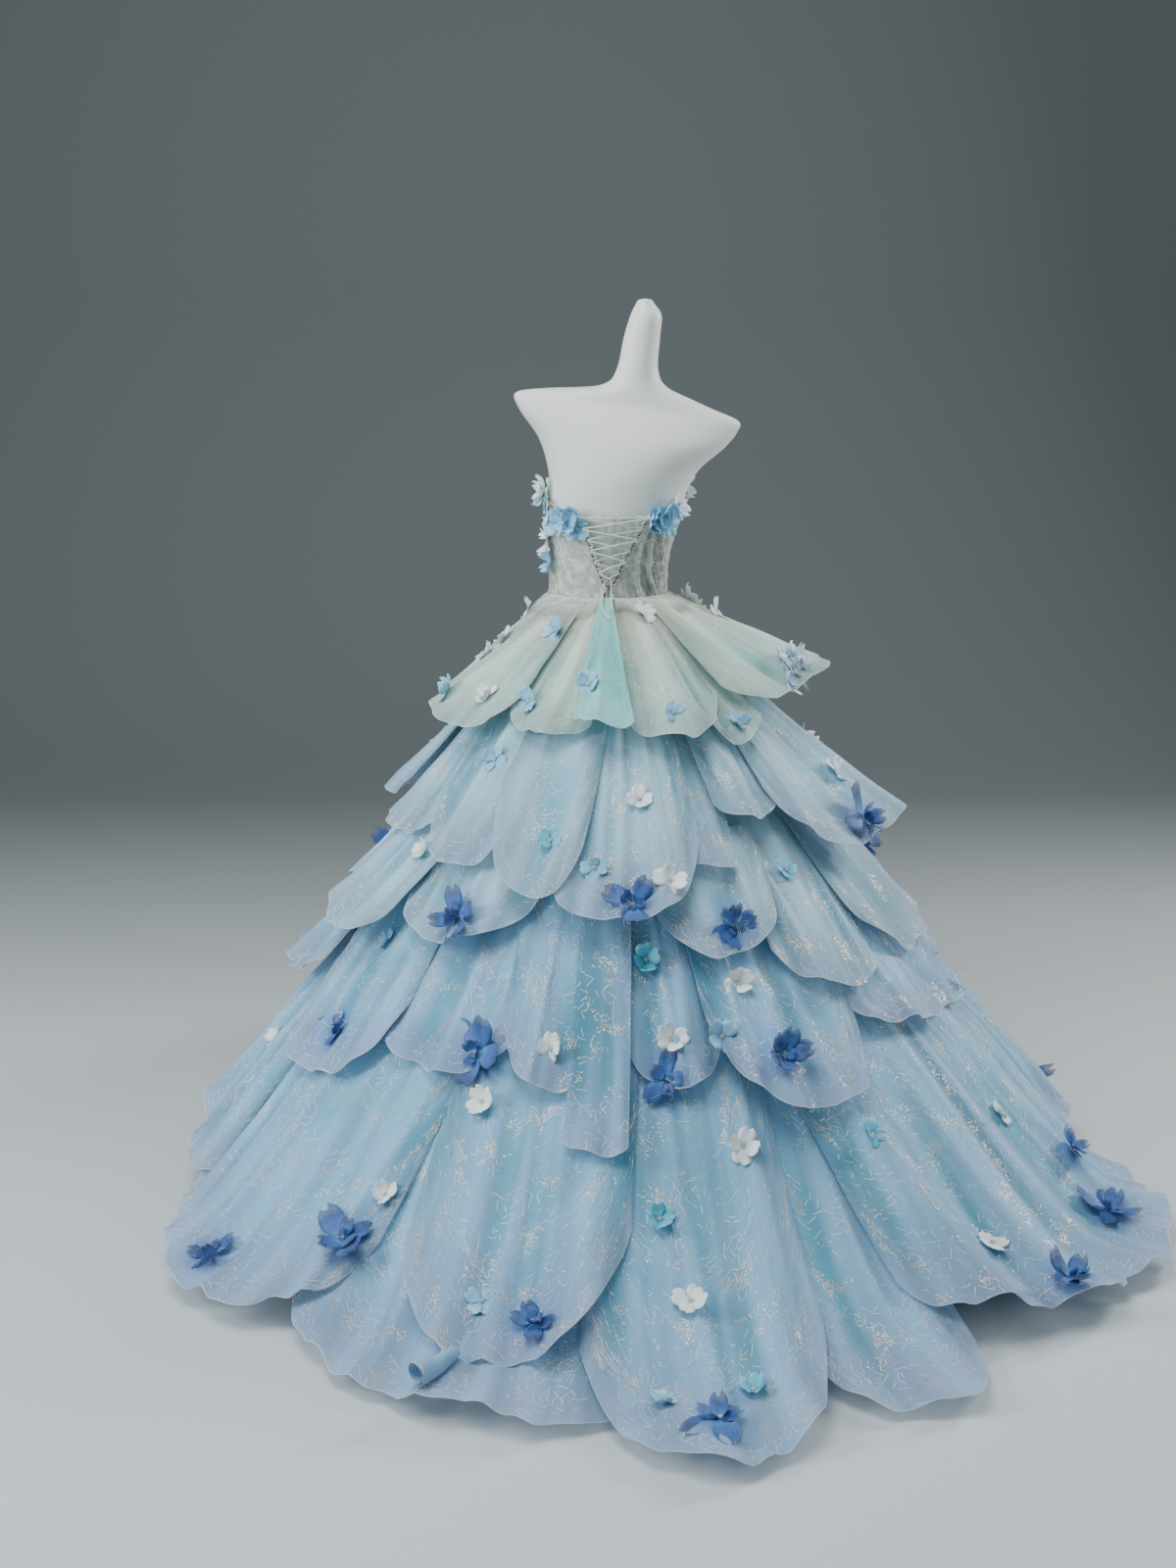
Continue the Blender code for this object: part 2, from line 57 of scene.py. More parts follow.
# The dress form: rings from the hips to the neck cap
# z, centre x, half width, half depth to the front, half depth to the back, sideways tilt
FORM_RINGS = (
    (0.780, -0.012, 0.110, 0.076, 0.080, 0.000),
    (0.800, -0.012, 0.134, 0.094, 0.098, 0.000),
    (0.870, -0.012, 0.142, 0.104, 0.112, 0.000),
    (0.950, -0.012, 0.130, 0.098, 0.105, 0.000),
    (1.030, -0.012, 0.107, 0.084, 0.084, 0.000),
    (1.080, -0.012, 0.103, 0.082, 0.079, 0.000),
    (1.140, -0.010, 0.105, 0.090, 0.082, 0.000),
    (1.200, -0.003, 0.116, 0.112, 0.088, 0.000),
    (1.245, 0.004, 0.126, 0.132, 0.093, 0.000),
    (1.294, 0.015, 0.139, 0.118, 0.095, -0.010),
    (1.345, 0.030, 0.172, 0.092, 0.084, -0.060),
    (1.388, 0.024, 0.203, 0.068, 0.060, -0.110),
    (1.412, 0.023, 0.203, 0.050, 0.044, -0.128),
    (1.428, 0.028, 0.140, 0.046, 0.040, -0.120),
    (1.446, 0.037, 0.064, 0.043, 0.038, -0.060),
    (1.472, 0.040, 0.040, 0.040, 0.036, 0.000),
    (1.537, 0.049, 0.033, 0.036, 0.033, 0.000),
    (1.576, 0.056, 0.028, 0.031, 0.029, 0.000),
    (1.598, 0.054, 0.015, 0.018, 0.017, 0.000),
)

# The stand, turned about the form's axis: radius, z
STAND_PROFILE = (
    (0.190, 0.000),
    (0.190, 0.008),
    (0.180, 0.014),
    (0.040, 0.018),
    (0.024, 0.030),
    (0.016, 0.060),
    (0.016, 0.7796),
)

# The rows of petals: t at the top, nominal hem t, lift at the top, flare at the hem, exponent of the flare
ROWS = {
    1: (0.004, 0.205, 0.010, 0.036, 1.1),
    2: (0.110, 0.430, 0.007, 0.040, 1.1),
    3: (0.290, 0.560, 0.007, 0.040, 1.1),
    4: (0.450, 0.720, 0.008, 0.038, 1.1),
    5: (0.610, 1.000, 0.005, 0.034, 1.2),
}

# Where a row stands further off the skirt: row, angle, spread in degrees, extra flare
FLARES = (
    (1, 82.0, 28.0, 0.080),
    (1, -82.0, 30.0, 0.028),
    (2, 74.0, 18.0, 0.062),
    (2, 8.0, 18.0, 0.012),
    (2, -72.0, 18.0, 0.012),
    (3, -62.0, 22.0, 0.034),
    (3, 22.0, 14.0, 0.012),
    (3, 84.0, 26.0, -0.026),
    (4, 24.0, 14.0, 0.012),
    (4, 80.0, 26.0, -0.026),
    (4, -66.0, 22.0, -0.010),
    (5, 0.0, 60.0, 0.006),
    (5, -88.0, 24.0, -0.018),
)

# Small creases of a row's petals: spacing, narrowest and widest half width, height
CREASES = {
    1: (0.021, 0.0038, 0.0085, 0.0105),
    2: (0.034, 0.0055, 0.0140, 0.0120),
    3: (0.038, 0.0060, 0.0160, 0.0125),
    4: (0.042, 0.0065, 0.0190, 0.0140),
    5: (0.054, 0.0090, 0.0260, 0.0210),
}

# The petals of each row: name, layer, angle left and right at the top, left and right at the hem,
# hem t at left, middle and right, corner rounding, folds, fold phase, fold depth
CUTS = {
    1: (
        ("back_left", 1, -62, -22, -88, -30, 0.158, 0.238, 0.200, 0.22, 1.5, 0.3, 0.014),
        ("back_mid_left", 0, -28, 2, -36, -5, 0.195, 0.214, 0.214, 0.10, 1.5, 0.9, 0.014),
        ("back_strip", 3, -8, 3, -9, 6, 0.206, 0.210, 0.212, 0.05, 0.5, 0.0, 0.010),
        ("back_mid_right", 1, 1, 36, 3, 37, 0.208, 0.224, 0.184, 0.12, 1.5, 0.2, 0.016),
        ("back_drop", 0, 24, 52, 28, 52, 0.205, 0.244, 0.190, 0.30, 0.5, 0.5, 0.008),
        ("back_right", 2, 33, 92, 38, 100, 0.185, 0.210, 0.175, 0.16, 1.5, 0.6, 0.018),
        ("front_right", 0, 86, 150, 92, 148, 0.190, 0.225, 0.195, 0.22, 1.5, 0.4, 0.014),
        ("front", 1, 140, 220, 140, 216, 0.190, 0.220, 0.190, 0.20, 2.5, 0.3, 0.014),
        ("front_left", 0, 210, 302, 208, 278, 0.190, 0.228, 0.170, 0.22, 1.5, 0.7, 0.014),
    ),
    2: (
        ("left", 0, -74, -48, -82, -47, 0.375, 0.415, 0.385, 0.12, 1.5, 0.3, 0.012),
        ("back_left", 1, -52, -14, -52, -24, 0.375, 0.415, 0.425, 0.16, 1.5, 0.8, 0.016),
        ("centre_lap", 2, -26, 2, -27, -5, 0.310, 0.445, 0.405, 0.12, 1.5, 0.4, 0.012),
        ("centre", 1, -10, 20, -13, 17.5, 0.450, 0.472, 0.425, 0.26, 1.5, 0.7, 0.014),
        ("back_right", 0, 12, 32, 14, 25, 0.395, 0.400, 0.412, 0.03, 0.5, 0.9, 0.010),
        ("lap_right", 1, 22, 50, 23, 43, 0.330, 0.345, 0.330, 0.08, 1.5, 0.2, 0.012),
        ("right", 2, 40, 78, 38, 84, 0.390, 0.440, 0.410, 0.30, 1.5, 0.5, 0.014),
        ("side_right", 1, 74, 118, 80, 120, 0.350, 0.395, 0.400, 0.14, 1.5, 0.1, 0.018),
        ("front_right", 2, 112, 170, 114, 166, 0.390, 0.440, 0.395, 0.26, 1.5, 0.6, 0.014),
        ("front_left", 1, 162, 226, 160, 222, 0.395, 0.445, 0.395, 0.26, 1.5, 0.2, 0.014),
        ("side_left", 2, 220, 292, 216, 284, 0.390, 0.430, 0.370, 0.26, 1.5, 0.8, 0.014),
    ),
    3: (
        ("left", 1, -72, -36, -78, -42, 0.500, 0.585, 0.500, 0.28, 1.5, 0.5, 0.012),
        ("back_left", 0, -44, -10, -46, -13, 0.520, 0.525, 0.455, 0.20, 1.5, 0.9, 0.014),
        ("back_right", 1, 6, 34, 7, 31, 0.480, 0.525, 0.470, 0.26, 1.5, 0.4, 0.012),
        ("lap_right", 0, 28, 58, 26, 50, 0.560, 0.600, 0.600, 0.14, 1.5, 0.2, 0.016),
        ("right", 1, 46, 96, 48, 96, 0.560, 0.610, 0.560, 0.26, 1.5, 0.7, 0.014),
        ("front_right", 0, 90, 152, 92, 150, 0.550, 0.600, 0.550, 0.26, 2.5, 0.3, 0.014),
        ("front", 1, 144, 218, 145, 214, 0.550, 0.605, 0.550, 0.26, 2.5, 0.6, 0.014),
        ("front_left", 0, 210, 290, 209, 286, 0.540, 0.590, 0.510, 0.26, 2.5, 0.1, 0.014),
    ),
    4: (
        ("left", 1, -70, -34, -68, -35, 0.700, 0.775, 0.700, 0.22, 1.5, 0.3, 0.014),
        ("back_left", 0, -40, -8, -40, -14, 0.670, 0.700, 0.660, 0.16, 2.5, 0.7, 0.014),
        ("centre_left", 1, -18, 3, -17, -2, 0.650, 0.694, 0.690, 0.22, 1.5, 0.2, 0.012),
        ("centre_tail", 2, -6, 4, -6, 1.5, 0.780, 0.785, 0.785, 0.03, 0.5, 0.6, 0.010),
        ("centre_right", 0, 1, 17, 1.5, 16, 0.670, 0.688, 0.655, 0.16, 1.5, 0.8, 0.010),
        ("back_right", 2, 12, 42, 13, 37, 0.665, 0.750, 0.700, 0.28, 1.5, 0.4, 0.014),
        ("right", 1, 38, 92, 34, 90, 0.640, 0.700, 0.700, 0.22, 2.5, 0.5, 0.014),
        ("front_right", 0, 86, 152, 87, 149, 0.700, 0.760, 0.700, 0.24, 2.5, 0.2, 0.014),
        ("front", 1, 145, 217, 144, 215, 0.700, 0.765, 0.700, 0.24, 2.5, 0.5, 0.014),
        ("front_left", 2, 210, 292, 210, 290, 0.700, 0.760, 0.690, 0.24, 2.5, 0.8, 0.014),
    ),
    5: (
        ("side_left", 2, -92, -58, -98, -57, 0.975, 1.010, 0.985, 0.08, 1.5, 0.4, 0.014),
        ("left", 1, -64, -20, -62, -25, 0.985, 1.066, 0.960, 0.12, 2.5, 0.3, 0.016),
        ("back_left_under", 0, -34, -2, -34, 1, 1.010, 1.078, 1.075, 0.07, 1.5, 0.7, 0.012),
        ("back_left", 2, -23, 4, -22, 1.5, 0.950, 1.030, 0.900, 0.10, 1.5, 0.5, 0.016),
        ("centre", 1, -3, 21, -3.5, 18, 1.050, 1.135, 1.030, 0.13, 2.5, 0.2, 0.014),
        ("back_right_under", 0, 14, 36, 15, 31, 1.020, 1.095, 1.060, 0.09, 1.5, 0.6, 0.014),
        ("back_right", 2, 22, 52, 26, 49, 0.985, 1.045, 1.110, 0.08, 2.5, 0.4, 0.018),
        ("right", 1, 46, 78, 46, 76, 1.080, 1.110, 1.030, 0.10, 1.5, 0.8, 0.014),
        ("side_right", 0, 72, 112, 73, 110, 1.000, 1.020, 1.000, 0.08, 1.5, 0.3, 0.014),
        ("front_right", 1, 106, 184, 106, 182, 1.000, 1.015, 1.000, 0.06, 2.5, 0.6, 0.014),
        ("front_left", 0, 176, 270, 177, 266, 1.000, 1.015, 0.995, 0.06, 3.5, 0.2, 0.014),
    ),
}

# t at the top of the petals that don't begin at their row's own
OTHER_TOPS = {
    "row1_back_drop": 0.010, "row3_back_right": 0.340, "row4_centre_left": 0.380,
    "row4_centre_tail": 0.380, "row4_centre_right": 0.380,
}


def list_petals():
    """Every petal as its name, row and layer, four angles, t at the top and the rest of its cut."""
    petals = []
    for row, cuts in CUTS.items():
        for short, *cut in cuts:
            name = "row%d_%s" % (row, short)
            petals.append((name, row, *cut[:5], OTHER_TOPS.get(name, ROWS[row][0]), *cut[5:]))
    return petals


PETALS = list_petals()

# The underskirt's gores: name, left and right angle
GORES = (
    ("underskirt_back", -90, 90),
    ("underskirt_front", 90, 270),
)

# The bodice: name, angle left and right ("lace" is the edge of the laced opening), distance off the form
BODICE = (
    ("bodice_back_left", -58.0, "lace", 0.0075),
    ("bodice_back_right", "lace", 58.0, 0.0075),
    ("bodice_side_right", 58.0, 120.0, 0.0075),
    ("bodice_front", 120.0, 240.0, 0.0075),
    ("bodice_side_left", 240.0, 302.0, 0.0075),
)
BODICE_Z = 1.058
BODICE_BACK_TOP = 1.222
LACE_APEX_Z = 1.090
LACE_ROWS = 6
LACE_END_LIFT = 0.042
OPENING_ANGLE = 28.6

# How thick each cloth is, how wide each cord and edge is and how big a bead is
LACE_CLOTH, LINING, PETAL, UNDERSKIRT, NET, SILK = 0.0011, 0.0009, 0.0006, 0.0008, 0.0005, 0.0003
CORD_RADIUS, CORD_END_RADIUS, BINDING_RADIUS, LOOP_RADIUS = 0.0015, 0.0014, 0.0014, 0.0011
STITCH_WIDTH, BEAD_RADIUS, BEAD_RING = 0.0009, 0.0016, 0.0030

# Embroidered twigs in a square metre of each row's petals
TWIGS = {1: 90, 2: 190, 3: 200, 4: 190, 5: 125}

# Where the dress form's wall begins and ends
FORM_LOW, FORM_HIGH = 0.7804, 1.5978


def smooth(x, lo, hi):
    """A soft step from 0 at lo to 1 at hi."""
    s = np.clip((np.asarray(x, float) - lo) / (hi - lo), 0.0, 1.0)
    return s * s * (3.0 - 2.0 * s)


def from_back(deg):
    """An angle as -180 to 180 degrees from the centre back."""
    return (np.asarray(deg) + 180.0) % 360.0 - 180.0


def cubic(s, p1, p2, m1, m2):
    """A cubic from p1 to p2 as s runs from 0 to 1, with the slopes m1 and m2."""
    return (
        (2 * s ** 3 - 3 * s ** 2 + 1) * p1 + (s ** 3 - 2 * s ** 2 + s) * m1
        + (-2 * s ** 3 + 3 * s ** 2) * p2 + (s ** 3 - s ** 2) * m2
    )


def unit(a):
    """Vectors divided by their own lengths."""
    return a / np.maximum(np.linalg.norm(a, axis=-1, keepdims=True), 1e-12)


def skirt_point(deg, t):
    """A point of the skirt's own surface: a waist oval that swells to the floor oval and runs out as a train."""
    th = np.radians(np.asarray(deg, float))
    t = np.asarray(t, float)
    side = np.sin(th)
    back = np.clip(np.cos(th), 0.0, None)
    front = np.clip(-np.cos(th), 0.0, None)
    waist = WAIST_A * WAIST_B / np.sqrt((WAIST_B * np.sin(th)) ** 2 + (WAIST_A * np.cos(th)) ** 2)
    floor_r = 0.785 + 0.070 * back ** 1.5 - 0.060 * front ** 2 + 0.052 * side
    swell = 0.78 + 0.25 * side ** 2 - 0.03 * side * np.abs(side) + 0.09 * front ** 2
    train = 0.08 + 1.16 * smooth(np.cos(th), -0.1, 1.0)
    out = 0.06 * np.logaddexp(0.0, (t - 0.87) / 0.06)
    r = waist + (floor_r - waist) * np.clip(t, 1e-6, None) ** swell + train * out
    drop = WAIST_Z * (1.0 - t)
    z = 0.5 * (drop + np.sqrt(drop ** 2 + FLOOR_SOFT ** 2))
    shift = WAIST_SHIFT * np.clip(1.0 - t, 0.0, 1.0)
    return np.stack([shift + r * np.sin(th), -r * np.cos(th), z], -1)


def lifted(deg, t, lift):
    """The skirt's surface moved out along its own normal."""
    e = 1e-3
    p = skirt_point(deg, t)
    across = skirt_point(deg + e, t) - p
    down = skirt_point(deg, t + e) - p
    n = np.cross(across, -down)
    n = n / np.linalg.norm(n, axis=-1, keepdims=True)
    return p + n * np.asarray(lift)[..., None]


def row_flare(row, deg, t):
    """How far a row stands off the skirt at an angle and a depth."""
    t_top, hem, _, flare, power = ROWS[row]
    total = np.full(np.shape(deg), flare)
    for at_row, centre, spread, extra in FLARES:
        if at_row == row:
            away = from_back(np.asarray(deg) - centre)
            total = total + extra * np.exp(-(away / spread) ** 2)
    depth = np.clip((t - t_top) / (hem - t_top), 0.0, 1.6)
    rise = depth ** power
    if row == 5:
        rise = np.sin(np.pi * np.clip(depth / 1.15, 0.0, 1.0)) ** 1.2
    return total * rise


# ---------------------------------------------------------------- shapes of the cloth


def half_width(spec):
    """Half the width of a petal's hem in metres: half its angle times the skirt's radius there."""
    middle = skirt_point(0.5 * (spec[5] + spec[6]), spec[8])
    return math.radians(0.5 * (spec[6] - spec[5])) * float(np.hypot(middle[0], middle[1]))


def make_creases(spec):
    """The uneven creases of one petal: place across, drift, width, height and where each one begins."""
    rng = np.random.default_rng(sum(ord(c) * (k + 7) for k, c in enumerate(spec[0])))
    half = half_width(spec)
    spacing, narrow, wide, tall = CREASES[spec[1]]
    count = int(np.clip(2.0 * half / spacing, 3, 16))
    place = np.linspace(-0.92, 0.92, count) + rng.uniform(-0.35, 0.35, count) * spacing / half
    drift = rng.uniform(-0.5, 0.5, count) * spacing / half
    width = rng.uniform(narrow, wide, count) / half
    height = tall * rng.uniform(0.25, 1.0, count) * rng.choice([1.0, 1.0, 1.0, -0.35], count)
    start = rng.uniform(-0.50, 0.35, count)
    drag = rng.uniform(-1.0, 1.0, (5, 4))
    return place, drift, width, height, start, drag


def crease_lift(spec, u, v):
    """Height of the creases: bells across the petal that grow downwards, plus a few slanting drag lines."""
    place, drift, width, height, start, drag = make_creases(spec)
    shape = (-1,) + (1,) * np.ndim(u)
    place, drift, width, height, start = (a.reshape(shape) for a in (place, drift, width, height, start))
    bell = np.exp(-((u - place - drift * (v - 0.5)) / (width * (0.6 + 0.6 * v))) ** 2)
    total = (height * bell * smooth(v, start, start + 0.55)).sum(0)
    pull = 0.0
    for a, b, c, d in drag:
        line = np.sin(5.0 * a * u + (4.0 + 5.0 * b) * v + 3.0 * c + 0.9 * np.sin(4.0 * d * u + 3.0 * v))
        pull = pull + np.clip(line, 0.0, 1.0) ** 4
    edge = 1.0 - 0.65 * smooth(np.abs(u), 0.62, 0.95)
    return total * (0.30 + 0.70 * v) * edge + 0.0016 * pull * smooth(v, 0.05, 0.4)


def petal_place(spec, u, v):
    """Angle, depth and lift of a petal's cloth: the plain petal with its creases and a rippled, turned-out hem."""
    _, row, layer, top_l, top_r, hem_l, hem_r, t_top, t_l, t_m, t_r, corner, folds, phase, depth = spec
    across = 0.5 + 0.5 * u
    top = top_l + (top_r - top_l) * across
    hem = hem_l + (hem_r - hem_l) * across
    deg = top + (hem - top) * v ** 0.8
    bow = t_m + 0.5 * (t_r - t_l) * u + (0.5 * (t_l + t_r) - t_m) * u * u
    reach = (bow - t_top) * (1.0 - corner * np.abs(u) ** 5)
    far = u * half_width(spec)
    ripple = np.sin(46.0 * far + 9.0 * phase) + 0.5 * np.sin(103.0 * far + 5.0 * phase + row)
    t = t_top + reach * v + 0.0038 * ripple * v ** 6 * (1.0 - u ** 6)
    wave = 0.5 + 0.5 * np.cos(math.pi * (folds * u + 2.0 * phase))
    own = FOLD_DEPTH * depth * v ** 1.2 * (1.0 - u * u) ** 1.5 * wave
    crease = crease_lift(spec, u, v)
    ruffle = np.sin(88.0 * far + 11.0 * phase + 2.5 * v) + 0.6 * np.sin(150.0 * far + 4.0 * phase)
    turn = smooth(v, 0.80, 1.0) * (0.0020 + 0.0026 * ruffle)
    lift = ROWS[row][2] + layer * LAYER * (0.4 + 0.6 * v) + row_flare(row, deg, t) + own + crease + turn
    return deg, t, lift, own + 2.0 * crease


def petal_cloth(spec, u, v, out=0.0):
    """Points of a petal's cloth, moved out along the skirt's normal by a distance."""
    deg, t, lift = petal_place(spec, u, v)[:3]
    return lifted(deg, t, lift + out)


def form_section(z):
    """Rows of the ring table at given heights, joined by a cubic whose slopes are those of the neighbours."""
    z = np.asarray(z, float)
    table = np.array(FORM_RINGS)
    k = np.clip(np.searchsorted(table[:, 0], z) - 1, 0, len(table) - 2)
    p0, p1, p2 = table[np.maximum(k - 1, 0)], table[k], table[k + 1]
    p3 = table[np.minimum(k + 2, len(table) - 1)]
    h = p2[..., :1] - p1[..., :1]
    s = (z[..., None] - p1[..., :1]) / h
    m1 = (p2 - p0) / (p2[..., :1] - p0[..., :1]) * h
    m2 = (p3 - p1) / (p3[..., :1] - p1[..., :1]) * h
    return cubic(s, p1, p2, m1, m2)


def body_point(deg, z, out):
    """Points on the form at angles and heights, moved out by a distance."""
    deg, z, out = np.broadcast_arrays(np.asarray(deg, float), np.asarray(z, float), np.asarray(out, float))
    ring = form_section(z)
    th = np.radians(deg)
    x = (ring[..., 2] + out) * np.sin(th)
    half = np.where(np.cos(th) > 0, ring[..., 4], ring[..., 3])
    y = -(half + out) * np.cos(th)
    return np.stack([ring[..., 1] + x, y, z + ring[..., 5] * x], -1)


def lace_edge(z):
    """Half angle of the laced opening at the back: open at the top, closed at the apex."""
    rise = np.clip((np.asarray(z, float) - LACE_APEX_Z) / (BODICE_BACK_TOP - LACE_APEX_Z), 0.0, 1.0)
    return 1.6 + 27.0 * rise ** 0.9


def bodice_top(deg):
    """Height of the top edge: low across the back, a little higher at the sides, a sweetheart in front."""
    d = np.abs(from_back(deg))
    rise = 0.020 * smooth(d, 35.0, 85.0) + 0.068 * smooth(d, 88.0, 142.0) - 0.034 * smooth(d, 150.0, 180.0)
    return BODICE_BACK_TOP + rise


# ---------------------------------------------------------------- meshes


def grid_quads(index):
    """The four corners of every cell of a grid of point numbers."""
    return np.stack([index[:-1, :-1], index[1:, :-1], index[1:, 1:], index[:-1, 1:]], -1).reshape(-1, 4)


def add_surface(name, p, material, closed_round=False, uv=None, tone=None):
    """A grid of points as one smooth mesh. uv is in metres of cloth, tone is four values a point."""
    nu, nv = p.shape[:2]
    index = np.arange(nu * nv).reshape(nu, nv)
    if closed_round:
        index = np.vstack([index, index[:1]])
    return add_faces(name, p.reshape(-1, 3), grid_quads(index), material, uv, tone)


def add_faces(name, points, faces, material, uv=None, tone=None, flat=False):
    """Points and faces of one size as a mesh object at the origin."""
    mesh = bpy.data.meshes.new(name)
    mesh.vertices.add(len(points))
    mesh.vertices.foreach_set("co", np.asarray(points, np.float32).ravel())
    faces = np.asarray(faces)
    count, sides = faces.shape
    mesh.loops.add(count * sides)
    mesh.loops.foreach_set("vertex_index", faces.astype(np.int32).ravel())
    mesh.polygons.add(count)
    mesh.polygons.foreach_set("loop_start", np.arange(0, count * sides, sides, dtype=np.int32))
    mesh.polygons.foreach_set("use_smooth", np.full(count, not flat))
    mesh.update(calc_edges=True)
    if uv is not None:
        layer = mesh.uv_layers.new(name="UVMap")
        layer.data.foreach_set("uv", np.asarray(uv, np.float32).reshape(-1, 2)[faces.ravel()].ravel())
    if tone is not None:
        data = mesh.attributes.new("tone", "FLOAT_COLOR", "POINT")
        data.data.foreach_set("color", np.asarray(tone, np.float32).reshape(-1, 4).ravel())
    mesh.validate()
    obj = bpy.data.objects.new(name, mesh)
    bpy.context.scene.collection.objects.link(obj)
    mesh.materials.append(material)
    return obj


def thicken(obj, thickness):
    """Gives a sheet its thickness, half to each side."""
    wall = obj.modifiers.new("thickness", "SOLIDIFY")
    wall.thickness = thickness
    wall.offset = 0.0


def arc(p, axis):
    """Running length along a grid, each way."""
    step = np.linalg.norm(np.diff(p, axis=axis), axis=-1)
    start = np.zeros_like(np.take(step, [0], axis=axis))
    return np.concatenate([start, np.cumsum(step, axis=axis)], axis=axis)


def cut_size(p):
    """Width, length and area of the flat cut of a grid of cloth. Its width is square to the columns."""
    a = p[1:, :-1] - p[:-1, :-1]
    b = p[:-1, 1:] - p[:-1, :-1]
    tall = np.linalg.norm(np.cross(a, b), axis=-1)
    width = (tall / np.maximum(np.linalg.norm(b, axis=-1), 1e-9)).sum(0).max()
    length = arc(p, 1)[:, -1].max()
    area = min(tall.sum(), width * length)
    return round(float(width), 3) + 0.001, round(float(length), 3) + 0.001, round(float(area), 4)


def cloth_uv(p):
    """Cloth coordinates in metres: across from the middle column, down from the first row."""
    across = arc(p, 0)
    across = across - across[p.shape[0] // 2]
    return np.stack([across, arc(p, 1)], -1)


def tube(path, radius, sides):
    """Rings of points round a path, carried along it without twist. The radius may change along it."""
    path = np.asarray(path, float)
    tangent = unit(np.gradient(path, axis=0))
    side = np.cross(tangent[0], (0.0, 1.0, 0.0))
    if np.linalg.norm(side) < 1e-3:
        side = np.cross(tangent[0], (1.0, 0.0, 0.0))
    sides_list = []
    for t in tangent:
        side = side - t * np.dot(side, t)
        side = side / np.linalg.norm(side)
        sides_list.append(side)
    side = np.array(sides_list)
    up = np.cross(tangent, side)
    a = np.linspace(0.0, 2 * math.pi, sides, endpoint=False)
    r = np.broadcast_to(np.asarray(radius, float), (len(path),))[None, :, None]
    return path[None] + r * (np.cos(a)[:, None, None] * side[None] + np.sin(a)[:, None, None] * up[None])


def closed_tube(path, radius, sides):
    """Points and triangles of tubes with closed ends, for several paths of one length joined in one mesh."""
    points, faces, start = [], [], 0
    for one in path:
        ring = tube(one, radius, sides)
        count = ring.shape[1]
        index = np.arange(sides * count).reshape(sides, count)
        wrap = np.vstack([index, index[:1]])
        a, b, c, d = wrap[:-1, :-1], wrap[1:, :-1], wrap[1:, 1:], wrap[:-1, 1:]
        first, last = sides * count, sides * count + 1
        tri = [
            np.stack([a, b, c], -1).reshape(-1, 3),
            np.stack([a, c, d], -1).reshape(-1, 3),
            np.stack([wrap[1:, 0], wrap[:-1, 0], np.full(sides, first)], -1),
            np.stack([wrap[:-1, -1], wrap[1:, -1], np.full(sides, last)], -1),
        ]
        points.append(np.concatenate([ring.reshape(-1, 3), one[:1], one[-1:]]))
        faces.append(np.concatenate(tri) + start)
        start += sides * count + 2
    return np.concatenate(points), np.concatenate(faces)


def smooth_path(points, count):
    """A path through points, each stretch a cubic with its neighbours' slopes, cut in even steps of length."""
    p = np.asarray(points, float)
    p = np.concatenate([[2 * p[0] - p[1]], p, [2 * p[-1] - p[-2]]])
    s = np.linspace(0.0, 1.0, 24, endpoint=False)[:, None]
    runs = []
    for k in range(1, len(p) - 2):
        m1, m2 = 0.5 * (p[k + 1] - p[k - 1]), 0.5 * (p[k + 2] - p[k])
        runs.append(cubic(s, p[k], p[k + 1], m1, m2))
    fine = np.concatenate(runs + [p[-2:-1]])
    along = np.concatenate([[0.0], np.cumsum(np.linalg.norm(np.diff(fine, axis=0), axis=1))])
    at = np.linspace(0.0, along[-1], count)
    return np.stack([np.interp(at, along, fine[:, k]) for k in range(3)], -1)


# ---------------------------------------------------------------- materials


def node(tree, kind, inputs=None, **settings):
    """Adds a shader node, its kind named without the ShaderNode in front.
    inputs maps a socket's name or number to a value or to another node's output."""
    made = tree.nodes.new("ShaderNode" + kind)
    for key, value in settings.items():
        setattr(made, key, value)
    for key, value in (inputs or {}).items():
        if isinstance(value, bpy.types.NodeSocket):
            tree.links.new(value, made.inputs[key])
        else:
            made.inputs[key].default_value = value
    return made


def maths(tree, operation, a, b=0.0, c=0.0, clamp=False):
    """One step of arithmetic between values or sockets."""
    return node(tree, "Math", {0: a, 1: b, 2: c}, operation=operation, use_clamp=clamp).outputs[0]


def times(tree, a, b):
    """a times b."""
    return maths(tree, "MULTIPLY", a, b)


def line(tree, value, slope, start):
    """A straight line of a value: value times slope, plus start."""
    return maths(tree, "MULTIPLY_ADD", value, slope, start)


def less(tree, a, b):
    """a less b."""
    return maths(tree, "SUBTRACT", a, b)


def wave(tree, value, turns):
    """The size of a sine wave of a value, never below 0."""
    return maths(tree, "ABSOLUTE", maths(tree, "SINE", times(tree, value, turns)))


def blend(tree, factor, a, b, kind="MIX"):
    """Mixes two colours by a factor. Each is a socket, or its red, green and blue."""
    a, b = ((*c, 1.0) if isinstance(c, tuple) else c for c in (a, b))
    return node(tree, "Mix", {0: factor, 6: a, 7: b}, data_type="RGBA", blend_type=kind).outputs[2]


def shade_by(tree, base, shade):
    """A colour times a grey value."""
    grey = node(tree, "CombineColor", {0: shade, 1: shade, 2: shade}).outputs[0]
    return blend(tree, 1.0, base, grey, "MULTIPLY")


def soft_step(tree, value, lo, hi):
    """0 below lo, 1 above hi and a soft rise between."""
    ends = {"Value": value, "From Min": lo, "From Max": hi}
    return node(tree, "MapRange", ends, interpolation_type="SMOOTHSTEP").outputs[0]


def noise(tree, where, scale, detail, **more):
    """Soft noise of about 0 to 1. more sets its other sockets."""
    return node(tree, "TexNoise", {"Vector": where, "Scale": scale, "Detail": detail, **more}).outputs[0]


